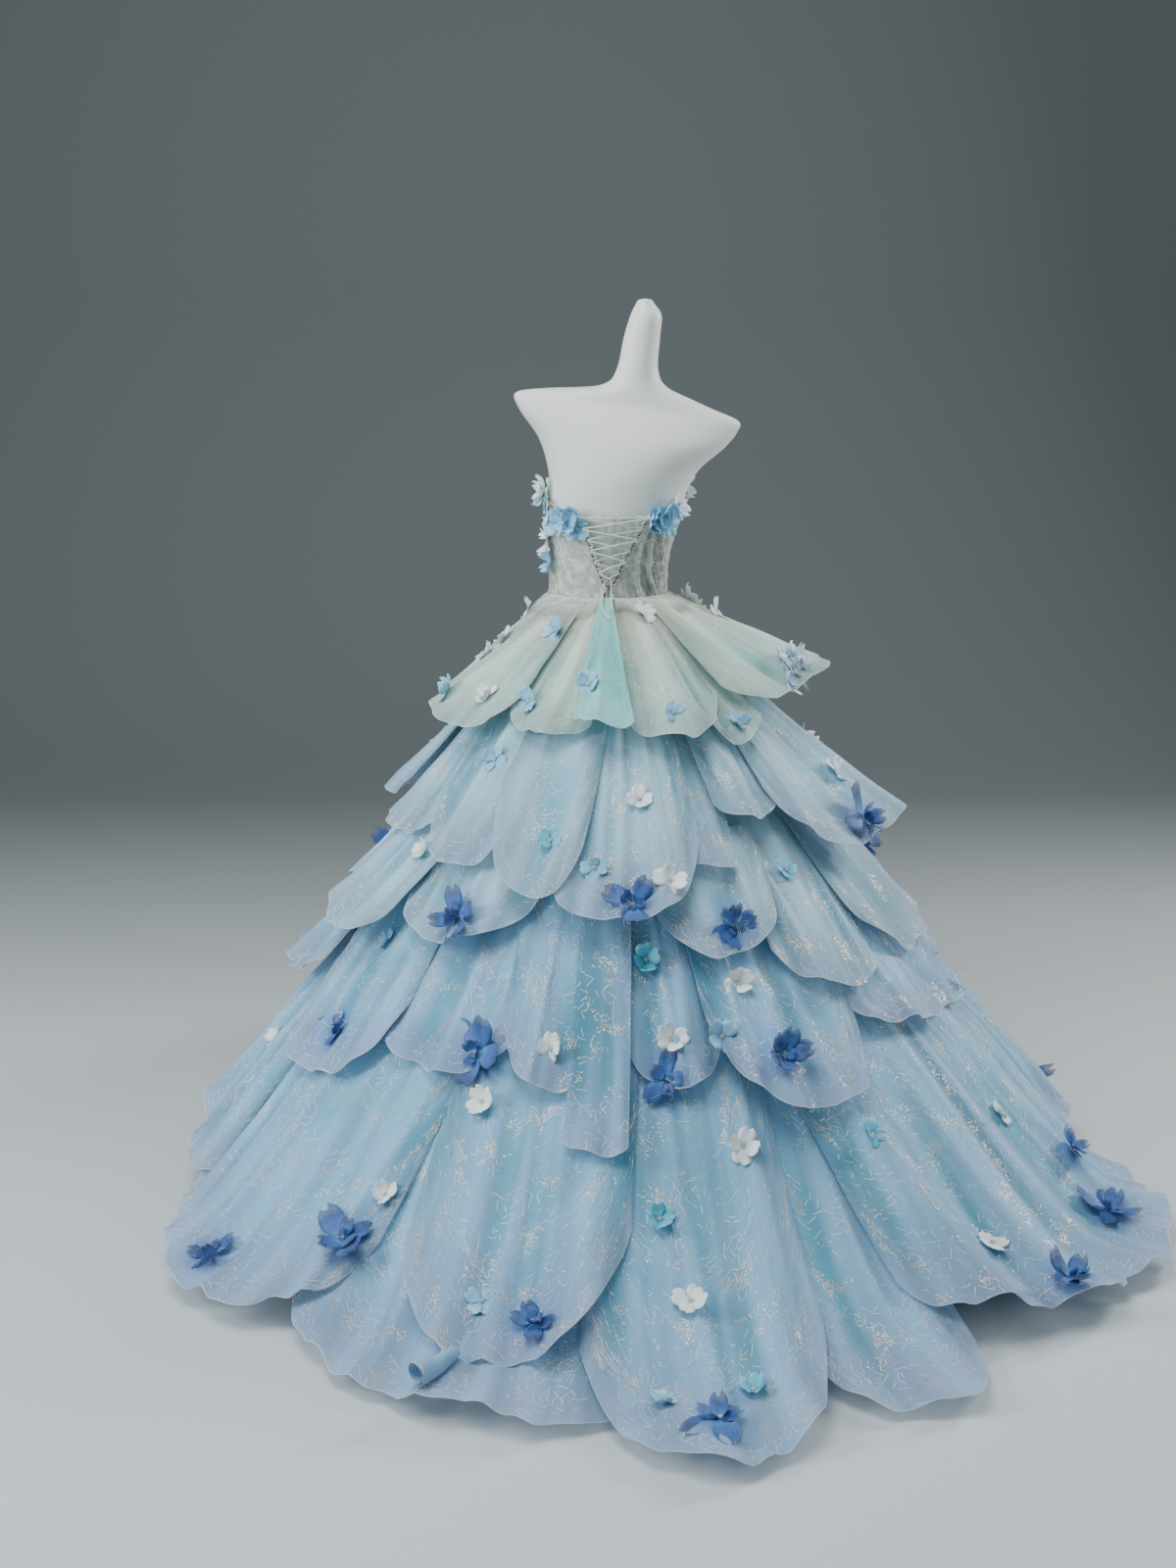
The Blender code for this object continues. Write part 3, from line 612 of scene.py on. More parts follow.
def split(tree, kind, value):
    """The three parts of a Color or of an XYZ place."""
    return node(tree, "Separate" + kind, {0: value}).outputs


def wire(tree, end, **sockets):
    """Links values and colours to a node's named sockets, with _ for a space in a name."""
    for key, value in sockets.items():
        tree.links.new(value, end.inputs[key.replace("_", " ")])


def bump(tree, height, strength, distance):
    """The normal of a surface raised by a height."""
    return node(tree, "Bump", {"Height": height, "Strength": strength, "Distance": distance}).outputs[0]


def new_group(name, inputs, outputs):
    """An empty shader group. inputs is (name, starting value), with no value for a place; outputs are values."""
    group = bpy.data.node_groups.new(name, "ShaderNodeTree")
    for label, value in inputs:
        kind = "NodeSocketVector" if value is None else "NodeSocketFloat"
        socket = group.interface.new_socket(label, in_out="INPUT", socket_type=kind)
        if value is not None:
            socket.default_value = value
    for label in outputs:
        group.interface.new_socket(label, in_out="OUTPUT", socket_type="NodeSocketFloat")
    return group, group.nodes.new("NodeGroupInput").outputs, group.nodes.new("NodeGroupOutput")


def make_weave_group():
    """Organza weave: crossed fine threads with slubs, and a crumple under them. Puts out a height and a tone."""
    group, come, go = new_group(
        "organza weave", [("Cloth", None), ("Thread", 900.0), ("Crumple", 26.0)], ["Height", "Tone"]
    )
    axis = split(group, "XYZ", come["Cloth"])
    woven = maths(group, "MAXIMUM", *(wave(group, axis[k], come["Thread"]) for k in (0, 1)))
    slub = noise(group, come["Cloth"], 420.0, 2.0)
    crumple = noise(group, come["Cloth"], come["Crumple"], 5.0, Roughness=0.62, Distortion=0.9)
    tall = line(group, crumple, 1.0, times(group, woven, 0.06))
    wire(group, go, Height=tall, Tone=line(group, slub, 0.35, times(group, crumple, 0.65)))
    return group


def chance_cells(group, come):
    """Flat cells of one size, and three chances of each cell's own."""
    cell = node(
        group, "TexVoronoi", {"Vector": come["Cloth"], "Scale": come["Cells"]}, feature="F1", voronoi_dimensions="2D"
    )
    return cell.outputs, split(group, "Color", cell.outputs["Color"])


def make_fleck_group():
    """Glitter flecks: cells of one size, each kept or left by its own chance, gathered in clusters."""
    group, come, go = new_group(
        "glitter flecks", [("Cloth", None), ("Cells", 340.0), ("Share", 0.3), ("Cluster", 20.0)], ["Mask", "Tint"]
    )
    cell, parts = chance_cells(group, come)
    cluster = noise(group, come["Cloth"], come["Cluster"], 2.0, Distortion=0.3)
    chance = times(group, soft_step(group, cluster, 0.50, 0.72), come["Share"])
    kept = maths(group, "LESS_THAN", parts[0], chance)
    dot = maths(group, "LESS_THAN", cell["Distance"], 0.36)
    wire(group, go, Mask=times(group, kept, dot), Tint=parts[1])
    return group


def make_needle_group():
    """Embroidered needles: in each cell one short straight stitch at the cell's own angle, gathered in sprays."""
    group, come, go = new_group(
        "embroidered needles", [("Cloth", None), ("Cells", 70.0), ("Share", 0.7), ("Width", 0.05)], ["Mask"]
    )
    cell, parts = chance_cells(group, come)
    scaled, middle = (
        node(group, "VectorMath", {0: place, "Scale": come["Cells"]}, operation="SCALE").outputs[0]
        for place in (come["Cloth"], cell["Position"])
    )
    away = node(group, "VectorMath", {0: scaled, 1: middle}, operation="SUBTRACT").outputs[0]
    turned = node(
        group, "VectorRotate", {"Vector": away, "Angle": times(group, parts[0], 6.283)}, rotation_type="Z_AXIS"
    ).outputs[0]
    across = maths(group, "ABSOLUTE", split(group, "XYZ", turned)[1])
    thin = maths(group, "LESS_THAN", across, come["Width"])
    spray = noise(group, come["Cloth"], 11.0, 2.0)
    chance = times(group, soft_step(group, spray, 0.42, 0.60), come["Share"])
    kept = maths(group, "LESS_THAN", parts[1], chance)
    wire(group, go, Mask=times(group, thin, kept))
    return group


def use(tree, group, **inputs):
    """Places a shared group in a material with its own values."""
    return node(tree, "Group", inputs, node_tree=GROUPS[group]).outputs


def start_material(name, **fixed):
    """A material with its Principled shader, constant values set on the shader's own sockets."""
    mat = bpy.data.materials.new(name)
    mat.use_nodes = True
    tree = mat.node_tree
    shader = tree.nodes["Principled BSDF"]
    for key, value in fixed.items():
        shader.inputs[key.replace("_", " ")].default_value = value
    return mat, tree, shader


def read_cloth(tree):
    """The cloth's own coordinates in metres, and the four values that its grid carries. The second is painted shade:
    high in the sunken parts of folds and gathers and in the bodice's shaded parts.
    """
    tone = node(tree, "Attribute", attribute_name="tone").outputs
    parts = split(tree, "Color", tone["Color"])
    return node(tree, "UVMap", uv_map="UVMap").outputs[0], parts[0], parts[1], parts[2], tone["Alpha"]


def make_organza(name, head, light, deep, veil, gold, needles, hem_alpha):
    """Sheer glitter organza. head is the cloth at the seam, light the cloth on the raised folds and veil the hem.
    deep is mixed in where the folds sink and in soft clouds: partly the under-layer seen through, partly painted shade.
    gold is the share of flecks, needles the share of white stitches, hem_alpha how solid the hem is."""
    mat, tree, shader = start_material(name, Sheen_Weight=0.35, Sheen_Roughness=0.45, Specular_IOR_Level=0.35)
    uv, down, valley, edge, across = read_cloth(tree)
    weave = use(tree, "weave", Cloth=uv)
    fleck = use(tree, "fleck", Cloth=uv, Share=gold)
    stitch = use(tree, "needle", Cloth=uv, Share=needles)[0]
    drift = noise(tree, uv, 4.5, 3.0, Distortion=0.6)
    # Painted shade: the deep colour comes in where the tone's valley value is high, in the sunken parts of the folds,
    # and in soft noise clouds. Partly it is the under-layer seen through the sheer cloth.
    underlayer_and_shade = line(tree, drift, 0.9, line(tree, valley, 0.85, -0.62))
    base = blend(tree, soft_step(tree, underlayer_and_shade, 0.05, 0.85), light, deep)
    base = blend(tree, times(tree, soft_step(tree, down, 0.72, 1.0), 0.75), base, veil)
    seam = line(tree, drift, 0.25, less(tree, down, 0.12))
    base = blend(tree, soft_step(tree, seam, 0.10, 0.62), head, base)
    stain = node(tree, "Attribute", attribute_name="stain").outputs["Fac"]
    base = blend(tree, times(tree, stain, maths(tree, "ADD", drift, 0.2)), base, (0.09, 0.24, 0.66))
    # Painted fold light and shade: noise stretched down the cloth makes lighter and darker lines like fine radiating
    # folds. In the alpha below, the same streaks also thin and thicken the cloth.
    spread = node(tree, "CombineXYZ", {0: across, 1: times(tree, down, 0.035)}).outputs[0]
    crease = soft_step(tree, noise(tree, spread, 17.0, 2.5, Roughness=0.55), 0.34, 0.66)
    base = shade_by(tree, base, line(tree, weave["Tone"], 0.26, line(tree, crease, 0.22, 0.76)))
    rolled = less(tree, 1.0, soft_step(tree, edge, 0.0012, 0.0030))
    white = maths(tree, "MAXIMUM", times(tree, rolled, 0.65), times(tree, stitch, 0.75))
    base = blend(tree, white, base, (0.86, 0.93, 0.97))
    metal = blend(tree, fleck["Tint"], (0.52, 0.34, 0.16), (0.90, 0.79, 0.62))
    rim = less(tree, 1.0, soft_step(tree, edge, 0.004, 0.085))
    open_weave = maths(tree, "MAXIMUM", soft_step(tree, down, 0.62, 1.02), rim)
    sheer = line(tree, open_weave, hem_alpha - 1.0, 1.0)
    solid = maths(tree, "MAXIMUM", white, fleck["Mask"])
    thin = maths(tree, "ADD", sheer, line(tree, crease, 0.20, -0.10))
    wire(
        tree, shader,
        Base_Color=blend(tree, fleck["Mask"], base, metal),
        Roughness=line(tree, fleck["Mask"], -0.25, 0.62),
        Metallic=times(tree, fleck["Mask"], 0.35),
        Alpha=maths(tree, "MAXIMUM", thin, solid, clamp=True),
        Normal=bump(tree, maths(tree, "ADD", weave["Height"], times(tree, stitch, 0.25)), 0.55, 0.004),
    )
    return mat


def make_lace_cloth(name, fades=False):
    """The bodice's glitter lace: champagne net over sage, dotted with flecks and drawn with short stitches.
    Where it fades, it thins out to nothing towards its lower edge."""
    mat, tree, shader = start_material(name, Sheen_Weight=0.25, Sheen_Roughness=0.5, Specular_IOR_Level=0.4)
    uv, down, dark, _, _ = read_cloth(tree)
    weave = use(tree, "weave", Cloth=uv, Thread=1300.0, Crumple=60.0)
    fleck = use(tree, "fleck", Cloth=uv, Share=0.85, Cells=520.0, Cluster=34.0)
    stitch = use(tree, "needle", Cloth=uv, Share=0.9, Cells=110.0, Width=0.07)[0]
    motif = noise(tree, uv, 30.0, 4.0, Distortion=2.2)
    base = blend(tree, soft_step(tree, motif, 0.38, 0.62), (0.44, 0.50, 0.44), (0.74, 0.77, 0.69))
    # Painted shade: the tone's second value mixes in the dark colour.
    base = blend(tree, dark, base, (0.13, 0.145, 0.13))
    base = blend(tree, times(tree, stitch, 0.6), base, (0.80, 0.84, 0.80))
    metal = blend(tree, fleck["Tint"], (0.52, 0.40, 0.27), (0.78, 0.76, 0.68))
    if fades:
        thin = line(tree, motif, 0.5, less(tree, down, 0.25))
        wire(tree, shader, Alpha=less(tree, 1.0, soft_step(tree, thin, 0.25, 0.98)))
    wire(
        tree, shader,
        Base_Color=blend(tree, times(tree, fleck["Mask"], 0.8), base, metal),
        Roughness=line(tree, fleck["Mask"], -0.3, 0.62),
        Metallic=times(tree, fleck["Mask"], 0.75),
        Normal=bump(tree, maths(tree, "ADD", weave["Height"], times(tree, stitch, 0.5)), 0.5, 0.0015),
    )
    return mat


def make_flower_cloth(name, centre, middle, tip, sheer=1.0):
    """Dyed silk petals: a colour at the heart, one through the petal and one at the tip, with fine veins."""
    mat, tree, shader = start_material(name, Sheen_Weight=0.2, Sheen_Roughness=0.5, Specular_IOR_Level=0.35)
    out, side, chance = split(tree, "Color", node(tree, "Attribute", attribute_name="tone").outputs["Color"])
    cloud = noise(tree, node(tree, "TexCoord").outputs["Object"], 90.0, 3.0)
    far = line(tree, cloud, 0.35, less(tree, out, 0.17))
    base = blend(tree, soft_step(tree, far, 0.02, 0.40), centre, middle)
    reach = line(tree, chance, -0.35, 0.78)
    base = blend(tree, soft_step(tree, less(tree, far, reach), 0.0, 0.40), base, tip)
    vein = line(tree, maths(tree, "POWER", wave(tree, side, 21.0), 3.0), -0.16, 1.04)
    wire(
        tree, shader,
        Base_Color=shade_by(tree, base, vein),
        Roughness=line(tree, cloud, 0.2, 0.45),
        Normal=bump(tree, vein, 0.35, 0.0006),
    )
    if sheer < 1.0:
        wire(tree, shader, Alpha=line(tree, soft_step(tree, far, 0.45, 0.95), sheer - 1.0, 1.0))
    return mat


def make_plain(name, light, dark, rough, scale, grain, **fixed):
    """A hard or thread finish: two tones in a soft cloud, a fine grain in the bump and uneven gloss."""
    mat, tree, shader = start_material(name, **fixed)
    where = node(tree, "TexCoord").outputs["Object"]
    cloud = noise(tree, where, scale, 4.0)
    fine = noise(tree, where, grain, 3.0)
    wire(
        tree, shader,
        Base_Color=blend(tree, soft_step(tree, cloud, 0.3, 0.7), light, dark),
        Roughness=line(tree, fine, 0.14, rough - 0.07),
        Normal=bump(tree, fine, 0.12, 0.0004),
    )
    return mat


# ---------------------------------------------------------------- the form and its stand


def finish_piece(piece, replaces=()):
    """Sets a piece on the one body and hides the parts of the model that it stands for."""
    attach(piece, "root")
    if replaces:
        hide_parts(*replaces)
    return piece


def finish_sheet(piece, thickness, nodes):
    """Gives a sheet its thickness, sets it on the one body and hides the parts of the model that it stands for."""
    thicken(piece, thickness)
    finish_piece(piece, nodes)


def add_cords(name, paths, radius, sides, material, nodes=()):
    """Round cords with closed ends along paths, as one finished piece."""
    points, faces = closed_tube(paths, radius, sides)
    return finish_piece(add_faces(name, points, faces, material), nodes)


def make_form(white):
    """The limbless form: a smooth loft of its sections from the hips to the neck cap, closed at both ends."""
    sides = 96
    deg = np.linspace(0.0, 360.0, sides, endpoint=False)[:, None]
    z = [np.linspace(FORM_LOW, 1.40, 96), np.linspace(1.4045, 1.45, 24), np.linspace(1.455, FORM_HIGH, 36)]
    z = np.concatenate(z)
    wall = body_point(deg, z[None, :], 0.0)
    low = body_point(deg, np.full((1, 6), FORM_LOW), 0.0)
    middle = low.mean(0, keepdims=True)
    shrink = np.array([0.001, 0.3, 0.6, 0.85, 0.96, 0.99])[None, :, None]
    low = middle + (low - middle) * shrink
    low[..., 2] = 0.7801 + 0.0003 * shrink[..., 0]
    ring = form_section(np.array(FORM_HIGH))
    a = np.radians(deg)
    rise = np.linspace(0.08, 0.5 * math.pi, 12)[None, :]
    cap_r = np.maximum(np.cos(rise), 0.002)
    depth = np.where(np.cos(a) > 0, ring[4], ring[3])
    cap_z = FORM_HIGH + 0.0062 * np.sin(rise) + 0.0 * a
    cap = np.stack([ring[1] + ring[2] * np.sin(a) * cap_r, -depth * np.cos(a) * cap_r, cap_z], -1)
    body = add_surface("dress_form", np.concatenate([low, wall, cap], 1), white, closed_round=True)
    finish_piece(body, ["form_body"])


def make_stand(white):
    """The stand turned about the form's axis: a thin round plate with a softened rim and a straight pole."""
    r0, z0 = np.array(STAND_PROFILE).T
    profile = [(0.0005, 0.0002), (0.1885, 0.0002)]
    a = np.linspace(-0.5 * math.pi, 0.5 * math.pi, 9)
    profile += [(0.1885 + 0.0015 * math.cos(k), 0.0042 + 0.0040 * math.sin(k)) for k in a]
    s = np.linspace(0.0, 1.0, 40)
    shares = [0, 0.2, 0.6, 0.8, 1.0]
    profile += list(zip(np.interp(s, shares, r0[2:7] - 0.0002), np.interp(s, shares, z0[2:7] - 0.0003)))
    profile += [(0.008, z0[-1] - 0.0003), (0.0005, z0[-1] - 0.0003)]
    r, z = np.array(profile).T
    turn = np.linspace(0.0, 2 * math.pi, 96, endpoint=False)[:, None]
    p = np.stack([r * np.sin(turn), -r * np.cos(turn), z + 0.0 * turn], -1)
    finish_piece(add_surface("form_stand_turned", p, white, closed_round=True), ["form_stand"])


# ---------------------------------------------------------------- the bodice

BONES = (-52.0, -37.0, 88.0, 104.0, 134.0, 152.0, 180.0, 208.0, 226.0, 256.0, 272.0, 288.0)

# Folds of the right back panel: share of the panel's height, angle at each, then height and half width in degrees
BODICE_FOLDS = (
    ((0.0, 0.2, 0.43, 0.66, 0.9), (34.0, 29.0, 26.5, 29.0, 32.0), 0.0034, 1.9),
    ((0.35, 0.52, 0.66, 0.8, 1.0), (7.0, 13.0, 21.0, 27.0, 31.0), 0.0026, 1.8),
    ((0.0, 0.12, 0.28, 0.5, 0.75), (58.0, 50.0, 42.0, 40.5, 38.0), 0.0034, 2.0),
    ((0.0, 0.23, 0.58, 0.8, 1.0), (76.0, 69.0, 57.0, 50.0, 44.0), 0.0026, 2.4),
    ((0.0, 0.15, 0.3, 0.45, 0.6), (20.0, 17.0, 15.0, 15.5, 18.0), 0.0018, 1.6),
)


def bodice_relief(deg, z):
    """Stand-off of the lace over its boning: bells on each bone, folds on the right back, drag lines."""
    d = from_back(deg)
    f = (z - BODICE_Z) / (BODICE_BACK_TOP - BODICE_Z)
    high = np.zeros(np.broadcast(deg, z).shape)
    for bone in BONES:
        away = from_back(deg - bone)
        high = high + 0.0010 * np.exp(-(away / 1.25) ** 2)
    for shares, angles, height, width in BODICE_FOLDS:
        away = (d - np.interp(f, shares, angles)) / width
        ends = smooth(f, shares[0] - 0.10, shares[0] + 0.10) * smooth(1.0 + shares[-1] - f, 0.90, 1.10)
        high = high + height * np.exp(-np.abs(away) ** 1.6) * ends
    side = np.exp(-((d - 72.0) / 16.0) ** 2)
    high = high + 0.0016 * side * np.clip(np.sin(0.22 * d + 62.0 * f + 1.4 * np.sin(0.13 * d)), 0.0, 1.0) ** 2
    crumple = np.sin(0.31 * d + 9.0 * f) * np.sin(0.17 * d - 23.0 * f + 1.0) + 0.6 * np.sin(0.71 * d + 31.0 * f)
    low = smooth(0.22 - f, 0.0, 0.22)
    return high + 0.00035 * crumple + 0.0009 * low * np.clip(np.sin(0.55 * d + 3.0 * f), 0.0, 1.0)


def make_bodice(lace, lining, cord):
    """Five lace panels over boning, the modesty panel behind the lacing, and the bound top and back edges."""
    for name, left, right, out in BODICE:
        f = np.linspace(0.0, 1.0, 74)[:, None]
        v = np.linspace(0.0, 1.0, 54)[None, :]
        z_mid = BODICE_Z + (BODICE_BACK_TOP - BODICE_Z) * v
        a = lace_edge(z_mid) if left == "lace" else left + 0.19
        b = -lace_edge(z_mid) if right == "lace" else right - 0.19
        deg = a + (b - a) * f
        z = BODICE_Z + (bodice_top(deg) - BODICE_Z) * v
        relief = bodice_relief(deg, z)
        fade = smooth(f * (1.0 - f), 0.0, 0.02)
        p = body_point(deg, z, out - 0.0002 + relief * fade)
        # Painted shade, carried as the tone's second value: the low parts of the relief, the right back panel darker as
        # the side turned away from the light, and a painted shadow line between the two binding cords of the laced
        # edge.
        valley = 1.0 - smooth(relief, -0.0003, 0.0012)
        away = from_back(deg) - 48.0
        dark = (0.30 + 0.65 * valley) * np.exp(-(away / 30.0) ** 2)
        gap = (np.abs(from_back(deg)) - lace_edge(z) - 1.9) / 1.1
        dark = np.maximum(dark, 0.85 * np.exp(-gap ** 4))
        tone = np.stack([v + 0.0 * f, dark, 0 * z, 0 * z + 1], -1)
        piece = add_surface("lace_" + name, p, lace, uv=cloth_uv(p), tone=tone)
        finish_sheet(piece, LACE_CLOTH, [name])
    f = np.linspace(0.0, 1.0, 60)[:, None]
    v = np.linspace(0.0, 1.0, 50)[None, :]
    deg = -36.0 + 72.0 * f
    wavy = 0.0016 * np.sin(0.42 * deg + 0.8) + 0.0010 * np.sin(0.9 * deg)
    z = BODICE_Z + 0.004 + (BODICE_BACK_TOP - 0.002 - BODICE_Z - 0.004 + wavy) * v
    pleat = 0.0008 * np.sin(150.0 * (z - BODICE_Z) + 0.12 * deg) + 0.0007 * np.sin(0.8 * deg + 60.0 * z) * v
    p = body_point(deg, z, 0.0040 + pleat * smooth(f * (1.0 - f), 0.0, 0.1))
    piece = add_surface("modesty_panel_cloth", p, lining, uv=cloth_uv(p))
    finish_sheet(piece, LINING, ["bodice_modesty_panel"])
    top = np.linspace(OPENING_ANGLE, 360.0 - OPENING_ANGLE, 240)
    paths = [smooth_path(body_point(top, bodice_top(top) + 0.0004, 0.0078), 240)]
    z = np.linspace(BODICE_BACK_TOP, BODICE_Z + 0.004, 60)
    for sign in (-1.0, 1.0):
        for more, out in ((0.2, 0.0092), (3.6, 0.0100)):
            paths.append(smooth_path(body_point(sign * (lace_edge(z) + more), z, out), 240))
    add_cords("edge_binding", paths, BINDING_RADIUS, 8, cord)


def lace_route():
    """The lace's points: a zigzag up the back, over the top and down again over itself."""
    points = []
    levels = np.linspace(LACE_APEX_Z + 0.004, BODICE_BACK_TOP - 0.006, LACE_ROWS + 1)
    strands = [(levels[k], levels[k + 1], -1 if k % 2 == 0 else 1, 0.0135) for k in range(LACE_ROWS)]
    strands.append((levels[-1], levels[-1] + 0.001, -strands[-1][2], 0.0150))
    strands += [(levels[k + 1], levels[k], -1 if k % 2 == 0 else 1, 0.0175) for k in reversed(range(LACE_ROWS))]
    for z0, z1, start, out in strands:
        for f in (0.0, 0.33, 0.67):
            z = z0 + (z1 - z0) * f
            points.append(body_point(start * (lace_edge(z) + 1.4) * (1.0 - 2.0 * f), z, out))
    return points


def make_lacing(thread):
    """The lace, its two hanging ends and the row of small loops down each edge of the opening."""
    route = lace_route()
    left = ((-5.2, 0.011), (-4.6, 0.022), (-2.4, 0.034), (0.6, 0.040))
    right = ((2.4, 0.012), (1.8, 0.020), (1.4, 0.030))
    start, end = body_point(-3.0, 1.084, 0.0150), body_point(2.6, 1.074, 0.0180)
    held = smooth_path([start] + route + [end], 520)
    add_cords("back_lacing", [held], CORD_RADIUS, 8, thread, ["back_lace"])
    for name, first, rest, lift in (("lace_end_left", start, left, 0.0), ("lace_end_right", end, right, 0.004)):
        path = smooth_path([first] + [lifted(d, t, np.array(LACE_END_LIFT + lift)) for d, t in rest], 60)
        piece = add_cords(name, [path], CORD_END_RADIUS, 8, thread, ["back_lace"])
    loops = []
    for sign in (-1.0, 1.0):
        for z in np.linspace(LACE_APEX_Z + 0.006, BODICE_BACK_TOP - 0.008, 13):
            e = lace_edge(z)
            turn = np.linspace(0.0, math.pi, 7)
            deg = sign * (e + 2.0 - 4.6 * np.sin(turn))
            loops.append(body_point(deg, z + 0.0036 * np.cos(turn), 0.0112 + 0.0014 * np.sin(turn)))
    add_cords("lacing_loops", [smooth_path(q, 14) for q in loops], LOOP_RADIUS, 6, thread)


# ---------------------------------------------------------------- the skirt


def make_underskirt(name, left, right, material):
    """Half the underskirt: the skirt's own surface with gathers that deepen towards the floor."""
    u = np.linspace(0.0, 1.0, 112)[:, None]
    v = np.linspace(1.0, 0.0, 40)[None, :]
    deg = left + 0.08 + (right - left - 0.16) * u + 0.0 * v
    t = 0.020 + 0.940 * v + 0.0 * u
    gather = np.sin(0.31 * deg + 1.3 * np.sin(0.05 * deg)) + 0.5 * np.sin(0.83 * deg + 2.0)
    lift = UNDER_LIFT * (0.4 + 0.6 * smooth(t, 0.0, 0.12)) + 0.0030 * (gather - 1.4) * smooth(t, 0.05, 0.7)
    p = lifted(deg, t, lift)
    # The tone's second value paints shade into the hollows of the gathers.
    tone = np.stack([0.0 * t, 0.6 - 0.3 * gather, 0.0 * t + 1.0, 0.012 * deg], -1)
    piece = add_surface("cloth_" + name, p, material, uv=cloth_uv(p), tone=tone)
    finish_sheet(piece, UNDERSKIRT, [name])


def add_stain(piece):
    """How near each point lies to a deep blue flower, whose dye has bled into the cloth: a bell of the distance."""
    middle = flower_frames(DEEP_FLOWERS)[0]
    points = np.empty(3 * len(piece.data.vertices), np.float32)
    piece.data.vertices.foreach_get("co", points)
    near = np.linalg.norm(points.reshape(-1, 1, 3) - middle[None], axis=-1).min(1)
    layer = piece.data.attributes.new("stain", "FLOAT", "POINT")
    layer.data.foreach_set("value", np.exp(-(near / 0.040) ** 2).astype(np.float32))


def make_petal(spec, material):
    """One petal of the skirt, hung from its seam."""
    span = max(spec[4] - spec[3], spec[6] - spec[5])
    nu = int(np.clip(span * 1.5, 44, 84))
    nv = 60 if spec[1] == 5 else 44
    s = np.linspace(-1.0, 1.0, nu)[:, None]
    u = 0.75 * s + 0.25 * np.sin(0.5 * math.pi * s)
    v = np.linspace(1.0, 0.0, nv)[None, :]
    v = np.concatenate([v[:, :1], 1.0 - 0.004 * np.array([[1.0, 2.0]]), v[:, 1:]], 1)
    u, v = np.broadcast_arrays(u, v)
    p = petal_cloth(spec, u, v)
    fold = petal_place(spec, u, v)[3]
    down = arc(p, 1)
    edge = np.minimum(down, np.minimum(arc(p, 0), arc(p, 0)[-1:] - arc(p, 0)) + 0.004)
    # valley is painted shade for the sunken parts of the folds, carried as the tone's second value.
    high = np.percentile(fold, 92)
    valley = 1.0 - np.clip(fold / max(high, 1e-6), 0.0, 1.0)
    tone = np.stack([v, valley, edge, (1.0 + u) * half_width(spec)], -1)
    uv = cloth_uv(p) + np.array([3.0 * spec[1], 0.37 * (sum(ord(c) for c in spec[0]) % 29)])
    piece = add_surface("petal_" + spec[0], p, material, uv=uv, tone=tone)
    add_stain(piece)
    finish_sheet(piece, PETAL, [spec[0]])


def make_waist_flare(net):
    """The bodice's lace running out over row 1: from the bodice, over the waist seam and down onto the petals.
    Each column is a quadratic curve from the bodice through the seam to the petals' upper side."""
    f = np.linspace(0.0, 1.0, 260)[:, None]
    v = np.linspace(0.0, 1.0, 18)[None, :]
    deg = 4.5 + 351.0 * f + 0.0 * v
    away = from_back(deg)
    reach = 0.020 + 0.026 * (1.0 - np.exp(-(away / 16.0) ** 2)) + 0.005 * np.sin(0.37 * deg)
    layers = sorted((0.5 * (petal[3] + petal[4]) % 360.0, petal[2]) for petal in PETALS if petal[1] == 1)
    layer = np.interp(deg, *zip(*layers), period=360.0)
    t = reach * v ** 1.3
    flute = 0.0012 * np.sin(0.95 * deg + 0.5 * np.sin(0.11 * deg)) * v
    low = lifted(deg, t, ROWS[1][2] + layer * LAYER * (0.42 + 0.10 * v) + row_flare(1, deg, t) + 0.0045 + flute)
    high = body_point(deg, BODICE_Z + 0.010 - 0.012 * v, 0.0108)
    share = smooth(v, 0.0, 0.55)
    p = high + (low - high) * share[..., None]
    tone = np.stack(np.broadcast_arrays(v + 0.0 * f, 0.10, 0.0, 1.0), -1)
    piece = add_surface("waist_flare", p, net, uv=cloth_uv(p), tone=tone)
    finish_sheet(piece, NET, ())


def make_hem_roll(name, petal, start, end, radii, material):
    """A length of hem that has rolled up on itself: a spiral of 1.2 turns carried along a line on a petal.
    Its radius runs smoothly through the three radii, and the spiral's own radius shrinks by a third."""
    spec = next(row for row in PETALS if row[0] == petal)
    s = np.linspace(0.0, 1.0, 40)[:, None]
    a = np.linspace(0.0, 1.0, 30)[None, :]
    u, v = start[0] + (end[0] - start[0]) * s, start[1] + (end[1] - start[1]) * s
    radius = radii[0] * (1 - s) * (1 - 2 * s) + 4.0 * radii[1] * s * (1 - s) + radii[2] * s * (2 * s - 1)
    radius = np.maximum(radius, 0.0015) * (1.0 + 0.06 * np.sin(9.0 * s))
    line = smooth_path(petal_cloth(spec, u[::8, 0], v[::8, 0], 0.004), len(s))
    up = smooth_path(petal_cloth(spec, u[::8, 0], v[::8, 0], 0.014), len(s))
    up = unit(up - line)
    side = unit(np.cross(np.gradient(line, axis=0), up))
    turn = -0.5 * math.pi + 2.4 * math.pi * a
    spiral = radius * (1.0 - 0.35 * a)
    p = line[:, None] + (radius + spiral * np.sin(turn))[..., None] * up[:, None]
    p = p + (spiral * np.cos(turn))[..., None] * side[:, None]
    edge = arc(p, 1)
    tone = np.stack(np.broadcast_arrays(0.80 + 0.0 * a, 0.10, edge + 0.03, 0.15 * a + 0.0 * s), -1)
    piece = add_surface(name, p, material, uv=cloth_uv(p), tone=tone)
    finish_sheet(piece, NET, ())


